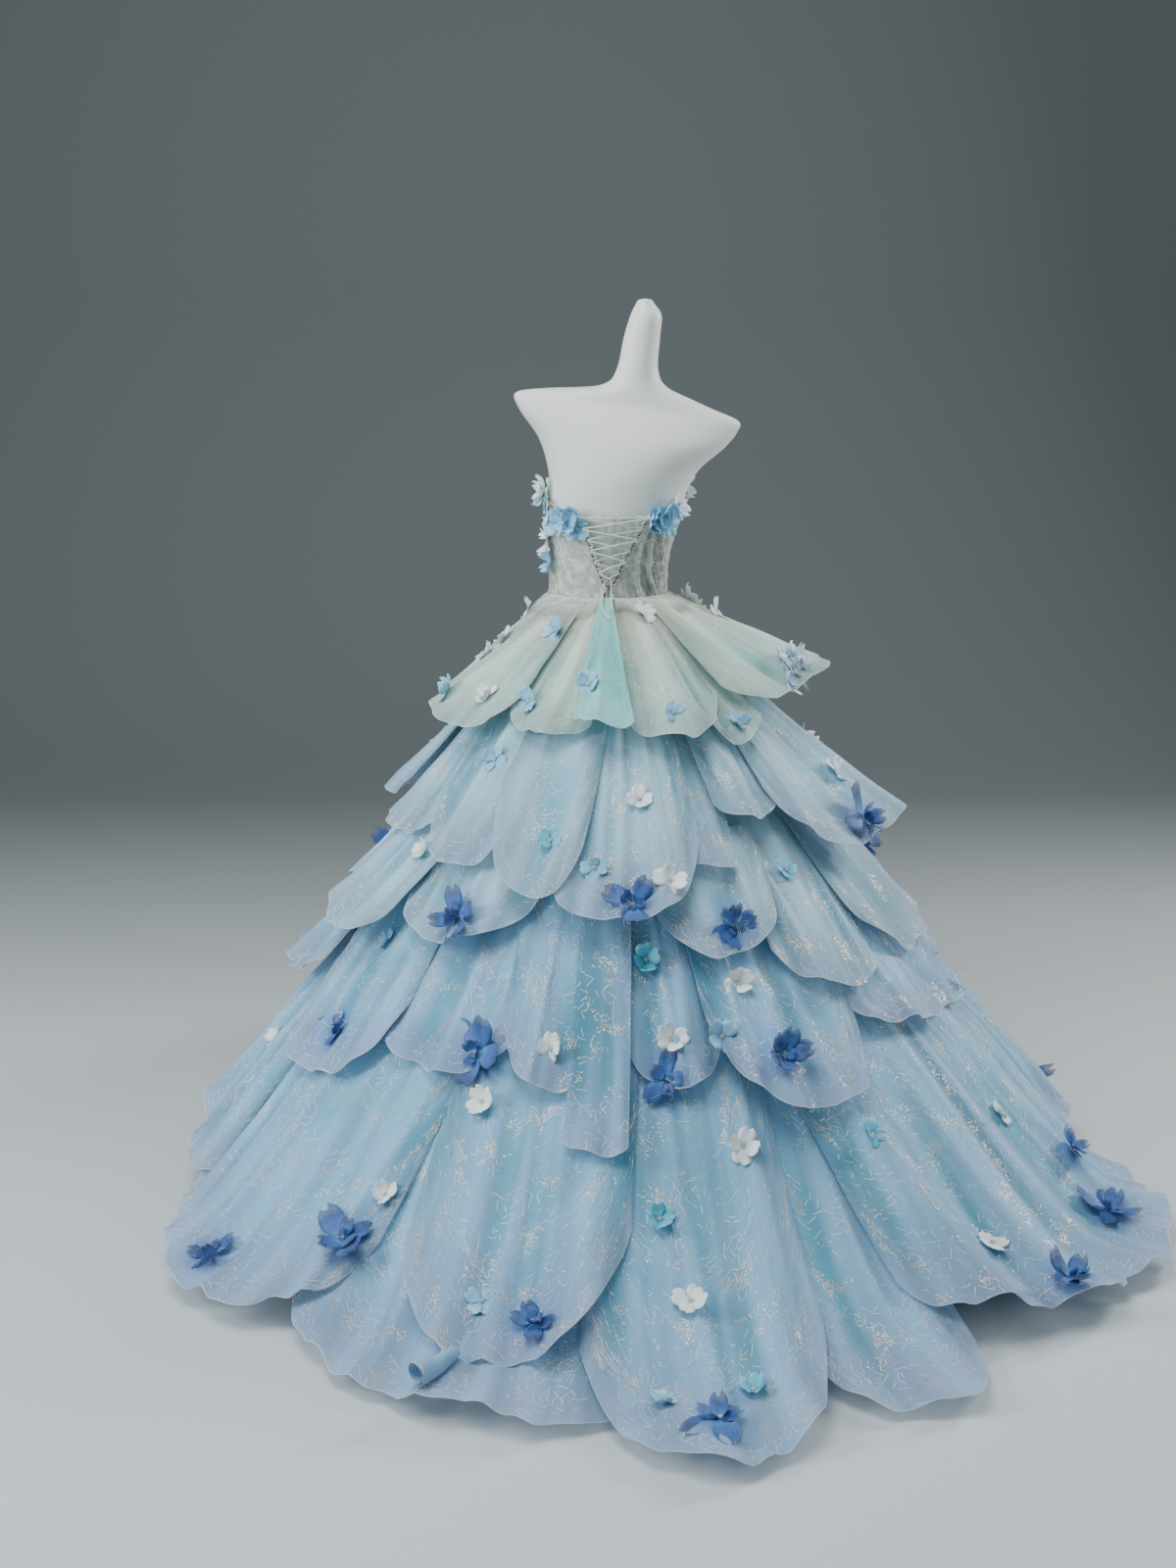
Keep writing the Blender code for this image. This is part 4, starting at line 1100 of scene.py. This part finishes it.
def spindles(a, b, up, width):
    """Tapered stitches from a to b: five points each, two ends and a left, right and top at the middle."""
    along = unit(b - a)
    side = unit(np.cross(up, along)) * width / 2
    m = 0.5 * (a + b)
    points = np.stack([a, b, m - side - 0.2 * width * up, m + side - 0.2 * width * up, m + 0.5 * width * up], 1)
    one = np.array([[0, 2, 4], [0, 4, 3], [0, 3, 2], [1, 4, 2], [1, 3, 4], [1, 2, 3]])
    faces = one[None, :, ::-1] + 5 * np.arange(len(a))[:, None, None]
    return points.reshape(-1, 3), faces.reshape(-1, 3)


def make_twigs(name, specs, per_square_metre, thread):
    """Embroidered twigs: each a bent stem of stitches with shorter stitches leaving it on both sides."""
    ends = []
    for spec in specs:
        rng = np.random.default_rng(sum(ord(c) for c in spec[0]) + 11)
        u0, v0 = np.meshgrid(np.linspace(-0.9, 0.9, 5), np.linspace(0.3, 0.95, 5), indexing="ij")
        width, length, area = cut_size(petal_cloth(spec, u0, v0))
        count = max(3, int(area * per_square_metre))
        spray = rng.integers(0, max(2, count // 6), count)
        home = np.stack([rng.uniform(-0.85, 0.85, count), rng.uniform(0.26, 0.93, count)])[:, spray]
        cu = np.clip(home[0] + 2.0 / max(width, 0.05) * rng.normal(0.0, 0.018, count), -0.92, 0.92)
        cv = np.clip(home[1] + 1.0 / max(length, 0.05) * rng.normal(0.0, 0.020, count), 0.20, 0.96)
        turn = rng.uniform(0.0, 2 * math.pi, count)
        size = rng.uniform(0.5, 1.5, count)
        for k in range(9):
            step = (k // 3 - 1) * 0.011
            lean = (0.0, 0.75, -0.7)[k % 3] + rng.uniform(-0.25, 0.25, count)
            reach = (0.012, 0.013, 0.011)[k % 3] * size * rng.uniform(0.7, 1.3, count)
            bx, by = step * np.cos(turn) * size, step * np.sin(turn) * size
            ex, ey = bx + reach * np.cos(turn + lean), by + reach * np.sin(turn + lean)
            du, dv = 1.8 / max(width, 0.05), 0.65 / max(length, 0.05)
            a = petal_cloth(spec, np.clip(cu + bx * du, -1, 1), np.clip(cv + by * dv, 0, 1), 0.0006)
            b = petal_cloth(spec, np.clip(cu + ex * du, -1, 1), np.clip(cv + ey * dv, 0, 1), 0.0006)
            top = petal_cloth(spec, cu, cv, 0.004)
            low = petal_cloth(spec, cu, cv, 0.001)
            ends.append((a, b, unit(top - low)))
    a, b, up = (np.concatenate([e[k] for e in ends]) for k in range(3))
    points, faces = spindles(a, b, up, STITCH_WIDTH)
    finish_piece(add_faces(name, points, faces, thread, flat=True))


# ---------------------------------------------------------------- flowers


def flower_frames(places):
    """Middle, outward direction and one sideways direction of each flower from its petal, u and v."""
    by_name = {spec[0]: spec for spec in PETALS}
    rows = []
    for name, u, v in places:
        if name == "bodice":
            low, high = body_point(u, v, 0.0100), body_point(u, v, 0.0200)
            beside = body_point(u + 2.0, v, 0.0100)
        else:
            spec = by_name[name]
            cu, cv = np.array(u, float), np.array(v, float)
            low, high = petal_cloth(spec, cu, cv, 0.0012), petal_cloth(spec, cu, cv, 0.0112)
            beside = petal_cloth(spec, cu + 0.04, cv, 0.0012)
        rows.append((low, unit(high - low), unit(beside - low)))
    middle, up, side = (np.array([r[k] for r in rows]) for k in range(3))
    side = unit(side - up * (side * up).sum(-1, keepdims=True))
    return middle, up, side


def bloom(places, size, rings, seed):
    """Flowers as points, faces and tones. A petal is an oval of 7 by 5 points, cupped along its length and ruffled.
    rings lists for each ring: petals, length as a share, width as a share, cup angle and a scatter."""
    rng = np.random.default_rng(seed)
    middle, up, side = flower_frames(places)
    count = len(places)
    size = size * rng.uniform(0.86, 1.14, count)
    spin = rng.uniform(0.0, 2 * math.pi, count)
    r = np.linspace(0.0, 1.0, 7)[:, None]
    s = np.linspace(-1.0, 1.0, 5)[None, :]
    oval = np.sqrt(np.clip(1.0 - ((r - 0.56) / 0.47) ** 2, 0.0, 1.0)) + 0.04
    all_points, all_tones = [], []
    for petals, length, width, cup, scatter in rings:
        for k in range(petals):
            angle = spin + 2 * math.pi * k / petals + rng.uniform(-scatter, scatter, count)
            long = length * size * 0.5 * rng.uniform(1.0 - 0.5 * scatter, 1.0 + 0.5 * scatter, count)
            lift = cup + rng.uniform(-0.6, 0.6, count) * scatter
            curl = rng.uniform(-0.5, 0.9, count)
            ruffle = rng.uniform(0.0, 6.28, count)
            notch = 1.0 - 0.10 * (1.0 - s ** 2) * smooth(r, 0.75, 1.0)
            rr = (0.05 + 0.95 * r * notch)[None]
            ll = long[:, None, None]
            bend = lift[:, None, None] + curl[:, None, None] * rr
            radial = ll * rr * np.cos(bend * 0.8)
            height = ll * rr * np.sin(bend) * 0.8
            height = height + ll * (0.10 * s ** 2 + 0.06 * np.sin(4.0 * s + ruffle[:, None, None])) * rr
            across = ll * width * (oval * s)[None]
            e1 = np.cos(angle)[:, None] * side + np.sin(angle)[:, None] * np.cross(up, side)
            e2 = np.cross(up, e1)
            p = (
                middle[:, None, None] + radial[..., None] * e1[:, None, None] + across[..., None] * e2[:, None, None]
                + (height + 0.0012)[..., None] * up[:, None, None]
            )
            all_points.append(p.reshape(-1, 35, 3))
            chance = np.broadcast_to(rng.uniform(0.0, 1.0, count)[:, None, None], p.shape[:3])
            tone = np.stack([r + 0 * s + 0 * chance, 0.5 + 0.5 * s + 0 * r + 0 * chance, chance, 1.0 + 0 * chance], -1)
            all_tones.append(tone.reshape(-1, 35, 4))
    points, tones = np.concatenate(all_points), np.concatenate(all_tones)
    quads = grid_quads(np.arange(35).reshape(7, 5))
    faces = (quads[None] + 35 * np.arange(len(points))[:, None, None]).reshape(-1, 4)
    return points.reshape(-1, 3), faces, tones.reshape(-1, 4)


def make_flowers(name, places, size, rings, material, seed):
    """All the flowers of one colour as one piece of thin petals."""
    points, faces, tones = bloom(places, size, rings, seed)
    piece = add_faces(name, points, faces, material, tone=tones)
    thicken(piece, SILK)
    finish_piece(piece)


def make_hearts(places, pearl):
    """Six beads in the heart of each flower. A bead is a ball: three rings of six points between two poles."""
    middle, up, side = flower_frames(places)
    other = np.cross(up, side)
    lat = np.linspace(0.0, math.pi, 5)[1:-1]
    lat, lon = np.meshgrid(lat, np.linspace(0, 2 * math.pi, 6, endpoint=False), indexing="ij")
    ball = np.stack([np.sin(lat) * np.cos(lon), np.sin(lat) * np.sin(lon), np.cos(lat)], -1).reshape(-1, 3)
    ball = np.concatenate([ball, [[0, 0, 1.0], [0, 0, -1.0]]])
    idx = np.arange(18).reshape(3, 6)
    nxt = np.roll(idx, -1, 1)
    faces = [np.stack([idx[k], idx[k + 1], nxt[k + 1]], -1) for k in (0, 1)]
    faces += [np.stack([idx[k], nxt[k + 1], nxt[k]], -1) for k in (0, 1)]
    faces += [np.stack([idx[0], nxt[0], np.full(6, 18)], -1), np.stack([nxt[2], idx[2], np.full(6, 19)], -1)]
    faces = np.concatenate(faces)
    points, all_faces = [], []
    beads = [(0.0, 0.0)] + [(BEAD_RING, a) for a in np.linspace(0, 2 * math.pi, 5, endpoint=False)]
    for k, (r, a) in enumerate(beads):
        at = middle + up * (0.0042 if k == 0 else 0.0034) + side * r * math.cos(a) + other * r * math.sin(a)
        frame3 = np.stack([side, other, up], 1)
        p = at[:, None] + BEAD_RADIUS * np.einsum("bk,nkc->nbc", ball, frame3)
        all_faces.append((faces[None] + 20 * (np.arange(len(p)) + k * len(p))[:, None, None]).reshape(-1, 3))
        points.append(p.reshape(-1, 3))
    piece = add_faces("flower_heart_beads", np.concatenate(points), np.concatenate(all_faces), pearl)
    finish_piece(piece)


def make_strands(places, feather):
    """Feather strands: thin curved hairs that leave a flower's heart and droop along the cloth."""
    rng = np.random.default_rng(77)
    middle, up, side = flower_frames(places)
    other = np.cross(up, side)
    s = np.linspace(0.0, 1.0, 8)[:, None]
    paths = []
    for m, n, e1, e2 in zip(middle, up, side, other):
        lead = rng.uniform(0.0, 2 * math.pi)
        for _ in range(16):
            a = lead + rng.normal(0.0, 0.55)
            long = rng.uniform(0.022, 0.048)
            bend = rng.uniform(-0.9, 0.9)
            out = np.cos(a + bend * s) * e1 + np.sin(a + bend * s) * e2
            paths.append(m + out * long * s + n * (0.003 + 0.010 * np.sin(math.pi * 0.8 * s) * rng.uniform(0.4, 1.0)))
    add_cords("feather_strands", paths, np.linspace(0.00035, 0.00012, 8), 3, feather)


# ---------------------------------------------------------------- the room, the lights and the camera


def place_camera():
    """A camera behind the gown at eye height, tipped down a little."""
    data = bpy.data.cameras.new("camera")
    data.lens, data.sensor_width = 45.0, 36.0
    cam = bpy.data.objects.new("camera", data)
    bpy.context.scene.collection.objects.link(cam)
    cam.location = (-0.05, -3.68, 1.61)
    cam.rotation_euler = (math.radians(76.0), 0.0, 0.0)
    bpy.context.scene.camera = cam


def place_light(name, location, target, width, height, power, colour):
    """A soft rectangular light that faces a point."""
    data = bpy.data.lights.new(name, "AREA")
    data.shape, data.size, data.size_y = "RECTANGLE", width, height
    data.energy, data.color = power, colour
    lamp = bpy.data.objects.new(name, data)
    bpy.context.scene.collection.objects.link(lamp)
    lamp.location = location
    away = np.array(location) - np.array(target)
    lamp.rotation_euler = (math.atan2(math.hypot(away[0], away[1]), away[2]), 0.0, math.atan2(away[0], -away[1]))


def make_room():
    """A pale floor that sweeps up into a plain grey wall, clear from behind, and soft light above and at both sides."""
    x = np.linspace(-14.0, 14.0, 3)[:, None]
    bend = np.linspace(0.0, 0.5 * math.pi, 24)
    y = np.concatenate([[-14.0, 0.0], 2.6 + 1.6 * np.sin(bend), [4.2]])
    z = np.concatenate([[0.0, 0.0], 1.6 - 1.6 * np.cos(bend), [12.0]])
    p = np.stack([x + 0 * y, y + 0 * x, z + 0 * x], -1)
    mat, tree, shader = start_material("studio sweep", Roughness=0.85)
    where = node(tree, "TexCoord").outputs["Object"]
    # Painted fall-off of light: the floor's colour darkens from pale near the camera to the wall's grey towards the
    # back.
    depth = line(tree, noise(tree, where, 0.8, 3.0), 0.2, split(tree, "XYZ", where)[1])
    floor_to_wall = blend(tree, soft_step(tree, depth, -0.9, 3.2), FLOOR_GREY, WALL_GREY)
    behind = node(tree, "NewGeometry").outputs["Backfacing"]
    wire(tree, shader, Base_Color=floor_to_wall, Alpha=less(tree, 1.0, behind))
    add_surface("studio_sweep", p, mat)
    place_light("high_soft_light", (-0.8, -1.4, 4.2), (0.0, -0.3, 0.7), 2.4, 2.0, 120.0, (0.93, 0.97, 1.0))
    place_light("left_soft_light", (-3.4, -1.5, 2.3), (0.0, 0.0, 0.9), 1.0, 1.8, 95.0, (0.93, 0.98, 1.0))
    place_light("right_strip_light", (2.9, 1.0, 2.2), (0.0, 0.0, 1.3), 0.6, 1.6, 85.0, (1.0, 1.0, 1.0))
    world = bpy.data.worlds.new("soft grey air")
    world.use_nodes = True
    world.node_tree.nodes["Background"].inputs["Color"].default_value = (0.62, 0.70, 0.74, 1.0)
    world.node_tree.nodes["Background"].inputs["Strength"].default_value = 0.30
    bpy.context.scene.world = world


# ---------------------------------------------------------------- the gown

# The floor's pale grey and the wall's grey. Going back, the floor darkens from one to the other as a painted fall-off
# of light.
FLOOR_GREY = (0.66, 0.71, 0.72)
WALL_GREY = (0.160, 0.182, 0.188)

# Flowers: petal, u, v, or bodice, angle, height
LIGHT_FLOWERS = (
    ("row1_back_left", 0.65, 0.23), ("row1_back_mid_left", -0.57, 0.81), ("row1_back_left", -0.30, 0.86),
    ("row1_back_strip", -0.60, 0.70), ("row1_back_mid_right", -0.22, 0.85), ("row1_back_drop", 0.03, 0.88),
    ("row2_back_left", 0.12, 0.48), ("row2_centre", -0.38, 0.80), ("row4_left", 0.07, 0.34),
    ("row4_back_right", -0.86, 0.88), ("row5_back_left", -0.20, 0.83), ("row5_centre", -0.40, 0.86),
    ("row1_front_right", 0.1, 0.7), ("row1_front", -0.4, 0.8), ("row1_front", 0.5, 0.6), ("row1_front_left", -0.2, 0.8),
    ("row2_front_right", 0.1, 0.75), ("row2_front_left", 0.4, 0.6), ("row3_front", -0.3, 0.7),
    ("row4_front_right", 0.2, 0.5), ("row4_front_left", -0.4, 0.7), ("row5_front_left", 0.2, 0.6),
    ("bodice", -45.0, 1.214), ("bodice", -38.0, 1.204), ("bodice", -31.0, 1.196), ("bodice", -52.0, 1.203),
    ("bodice", -35.0, 1.218), ("bodice", 38.0, 1.214), ("bodice", 46.0, 1.218), ("bodice", 53.0, 1.222),
    ("bodice", 34.0, 1.206), ("bodice", 60.0, 1.226), ("bodice", 49.0, 1.204),
    ("bodice", -70.0, 1.127), ("bodice", 132.0, 1.255), ("bodice", 160.0, 1.238), ("bodice", 205.0, 1.250),
    ("bodice", 228.0, 1.240), ("bodice", 176.0, 1.150),
)
TEAL_FLOWERS = (
    ("row2_centre_lap", 0.28, 0.74), ("row4_centre_right", -0.45, 0.43), ("row3_lap_right", -0.27, 0.43),
    ("row5_back_right", -0.47, 0.46), ("row5_centre", -0.32, 0.48), ("row5_centre", 0.25, 0.83),
    ("row5_back_right", 0.48, 0.93), ("row3_front_left", 0.2, 0.7), ("row4_front", 0.3, 0.6),
    ("row5_front_right", -0.2, 0.7), ("row2_side_left", 0.1, 0.6), ("bodice", -78.0, 1.236), ("bodice", 188.0, 1.226),
)
WHITE_FLOWERS = (
    ("row1_back_mid_right", 0.38, 0.10), ("row1_back_left", 0.30, 0.73), ("row1_back_right", 0.95, 0.10),
    ("row1_back_right", 0.65, 0.28), ("row1_front_left", 0.30, 0.14), ("row1_back_left", -0.80, 0.70),
    ("row1_back_left", -0.86, 0.55), ("row2_centre", 0.18, 0.53), ("row2_centre", 0.45, 0.90),
    ("row3_left", 0.50, 0.47), ("row2_right", 0.28, 0.68), ("row4_back_right", -0.50, 0.40),
    ("row4_centre_left", 0.07, 0.83), ("row4_centre_right", -0.12, 0.79), ("row5_back_left", -0.60, 0.29),
    ("row5_centre", 0.60, 0.34), ("row5_left", 0.85, 0.73), ("row5_centre", -0.12, 0.64),
    ("row5_back_right", 0.12, 0.78), ("row5_right", -0.30, 0.48), ("row4_right", 0.35, 0.96),
    ("row1_front_right", -0.3, 0.3), ("row1_front_right", 0.5, 0.85), ("row1_front", 0.1, 0.3),
    ("row2_side_right", 0.1, 0.7), ("row2_front_left", -0.5, 0.8), ("row3_front_right", 0.1, 0.6),
    ("row3_front", 0.5, 0.8), ("row4_front", -0.5, 0.8), ("row5_front_right", 0.5, 0.5), ("row5_side_left", 0.0, 0.5),
    ("bodice", -78.0, 1.268), ("bodice", -84.0, 1.252), ("bodice", -72.0, 1.222), ("bodice", -69.0, 1.190),
    ("bodice", -80.0, 1.160), ("bodice", 58.0, 1.236), ("bodice", 120.0, 1.262), ("bodice", 146.0, 1.262),
    ("bodice", 172.0, 1.228), ("bodice", 216.0, 1.262), ("bodice", 238.0, 1.250), ("bodice", 196.0, 1.200),
)
DEEP_FLOWERS = (
    ("row2_right", -0.02, 0.92), ("row3_back_left", 0.05, 0.84), ("row2_centre", 0.07, 0.94),
    ("row3_back_right", 0.12, 0.78), ("row4_left", 0.10, 0.78), ("row4_back_left", 0.50, 0.88),
    ("row4_back_right", -0.27, 0.74), ("row4_centre_right", -0.27, 0.97), ("row5_left", -0.05, 0.90),
    ("row5_left", 0.75, 0.84), ("row5_back_left", 0.23, 0.89), ("row5_centre", -0.05, 0.90),
    ("row5_right", 0.10, 0.68), ("row5_back_right", 0.33, 0.95), ("row5_right", -0.15, 0.84),
    ("row3_front_right", -0.3, 0.85), ("row3_front_left", -0.1, 0.85), ("row4_front", 0.0, 0.9),
    ("row2_front_right", -0.4, 0.9), ("row5_front_right", 0.0, 0.88), ("row5_front_left", -0.4, 0.86),
    ("row5_side_right", 0.1, 0.85),
)
CLUSTER_FLOWERS = (
    ("row1_back_right", 0.07, 0.79), ("row1_back_right", -0.05, 0.90), ("row1_back_right", 0.16, 0.88),
    ("row1_back_right", -0.20, 0.95), ("row1_back_right", 0.02, 0.84), ("row1_back_right", 0.22, 0.82),
)

place_camera()
make_room()

GROUPS = {"weave": make_weave_group(), "fleck": make_fleck_group(), "needle": make_needle_group()}
sage = make_organza(
    "sage organza", (0.66, 0.69, 0.59), (0.52, 0.69, 0.61), (0.24, 0.54, 0.50), (0.54, 0.73, 0.71),
    0.45, 0.35, 0.54
)
aqua = make_organza(
    "aqua organza", (0.34, 0.80, 0.78), (0.32, 0.82, 0.80), (0.18, 0.62, 0.63), (0.42, 0.84, 0.83),
    0.05, 0.05, 0.60
)
pale = make_organza(
    "pale blue organza", (0.36, 0.60, 0.72), (0.37, 0.61, 0.75), (0.13, 0.41, 0.55), (0.43, 0.60, 0.77),
    0.62, 0.65, 0.50
)
powder = make_organza(
    "powder blue organza", (0.24, 0.50, 0.70), (0.27, 0.52, 0.75), (0.085, 0.37, 0.52), (0.40, 0.55, 0.78),
    0.62, 0.70, 0.52
)
lace = make_lace_cloth("champagne glitter lace")
waist_net = make_lace_cloth("champagne waist net", fades=True)
white_plastic = make_plain(
    "matt white form", (0.90, 0.93, 0.87), (0.84, 0.88, 0.83), 0.46, 5.0, 700.0, Specular_IOR_Level=0.4
)
white_steel = make_plain(
    "white painted steel", (0.70, 0.72, 0.72), (0.62, 0.64, 0.65), 0.34, 8.0, 500.0, Coat_Weight=0.3
)
binding = make_plain(
    "sage satin binding", (0.66, 0.70, 0.62), (0.46, 0.50, 0.44), 0.42, 60.0, 1500.0, Sheen_Weight=0.3
)
lace_thread = make_plain(
    "sage satin cord", (0.84, 0.87, 0.78), (0.62, 0.66, 0.58), 0.40, 80.0, 1800.0, Sheen_Weight=0.3
)
lining = make_plain(
    "cream lining", (0.66, 0.72, 0.64), (0.44, 0.50, 0.45), 0.60, 55.0, 1300.0, Sheen_Weight=0.3
)
stitch_thread = make_plain(
    "white embroidery thread", (0.86, 0.92, 0.95), (0.74, 0.82, 0.88), 0.38, 40.0, 2000.0, Sheen_Weight=0.2
)
pearl = make_plain("pearl bead", (0.82, 0.80, 0.72), (0.72, 0.66, 0.52), 0.22, 90.0, 900.0, Coat_Weight=0.6)
feather = make_plain("white feather", (0.84, 0.92, 0.96), (0.66, 0.80, 0.90), 0.6, 50.0, 1200.0, Sheen_Weight=0.4)
flower_white = make_flower_cloth("white silk", (0.72, 0.84, 0.90), (0.90, 0.97, 1.0), (0.95, 0.99, 1.0))
flower_light = make_flower_cloth("light blue silk", (0.10, 0.34, 0.62), (0.28, 0.62, 0.86), (0.44, 0.76, 0.92))
flower_teal = make_flower_cloth("teal silk", (0.05, 0.30, 0.48), (0.12, 0.56, 0.74), (0.24, 0.70, 0.84))
flower_deep = make_flower_cloth(
    "deep blue silk", (0.10, 0.34, 0.70), (0.050, 0.15, 0.44), (0.085, 0.12, 0.27), 0.45
)
flower_pale = make_flower_cloth("ice blue silk", (0.40, 0.52, 0.78), (0.62, 0.78, 0.92), (0.78, 0.88, 0.95))

make_form(white_plastic)
make_stand(white_steel)
make_bodice(lace, lining, binding)
make_lacing(lace_thread)
for gore, gore_left, gore_right in GORES:
    make_underskirt(gore, gore_left, gore_right, aqua)
row_cloth = {
    1: (sage, "organza_sage"), 2: (pale, "organza_pale"), 3: (pale, "organza_pale"),
    4: (powder, "organza_powder"), 5: (powder, "organza_powder"),
}
for petal in PETALS:
    cloth, finish = row_cloth[petal[1]]
    if petal[0] == "row1_back_strip":
        cloth, finish = aqua, "organza_aqua"
    make_petal(petal, cloth)
make_waist_flare(waist_net)
make_hem_roll(
    "hem_roll_back", "row5_back_left_under", (0.06, 0.985), (0.22, 0.86), (0.020, 0.016, 0.008), powder,
)
for row in (1, 2, 3, 4, 5):
    specs = [petal for petal in PETALS if petal[1] == row and petal[0] != "row1_back_strip"]
    make_twigs("twig_embroidery_row%d" % row, specs, TWIGS[row], stitch_thread)

SMALL = [(4, 1.0, 0.47, 0.26, 0.20)]
SPREAD = [(4, 1.0, 0.31, 0.12, 0.50), (3, 0.66, 0.36, 0.55, 0.6), (3, 0.36, 0.46, 1.0, 0.5)]
FULL = [(5, 1.0, 0.40, 0.12, 0.55), (4, 0.66, 0.44, 0.55, 0.6), (3, 0.36, 0.50, 1.0, 0.5)]
make_flowers("flowers_white", WHITE_FLOWERS, 0.056, SMALL, flower_white, 3)
make_flowers("flowers_light_blue", LIGHT_FLOWERS, 0.054, SMALL, flower_light, 5)
make_flowers("flowers_teal", TEAL_FLOWERS, 0.050, SMALL, flower_teal, 8)
make_flowers("flowers_deep_blue", DEEP_FLOWERS, 0.104, SPREAD, flower_deep, 13)
make_flowers("flowers_ice_cluster", CLUSTER_FLOWERS, 0.060, FULL, flower_pale, 21)
make_hearts(WHITE_FLOWERS + LIGHT_FLOWERS + TEAL_FLOWERS + DEEP_FLOWERS, pearl)
make_strands(WHITE_FLOWERS[9:11] + DEEP_FLOWERS[:9] + CLUSTER_FLOWERS[:3], feather)
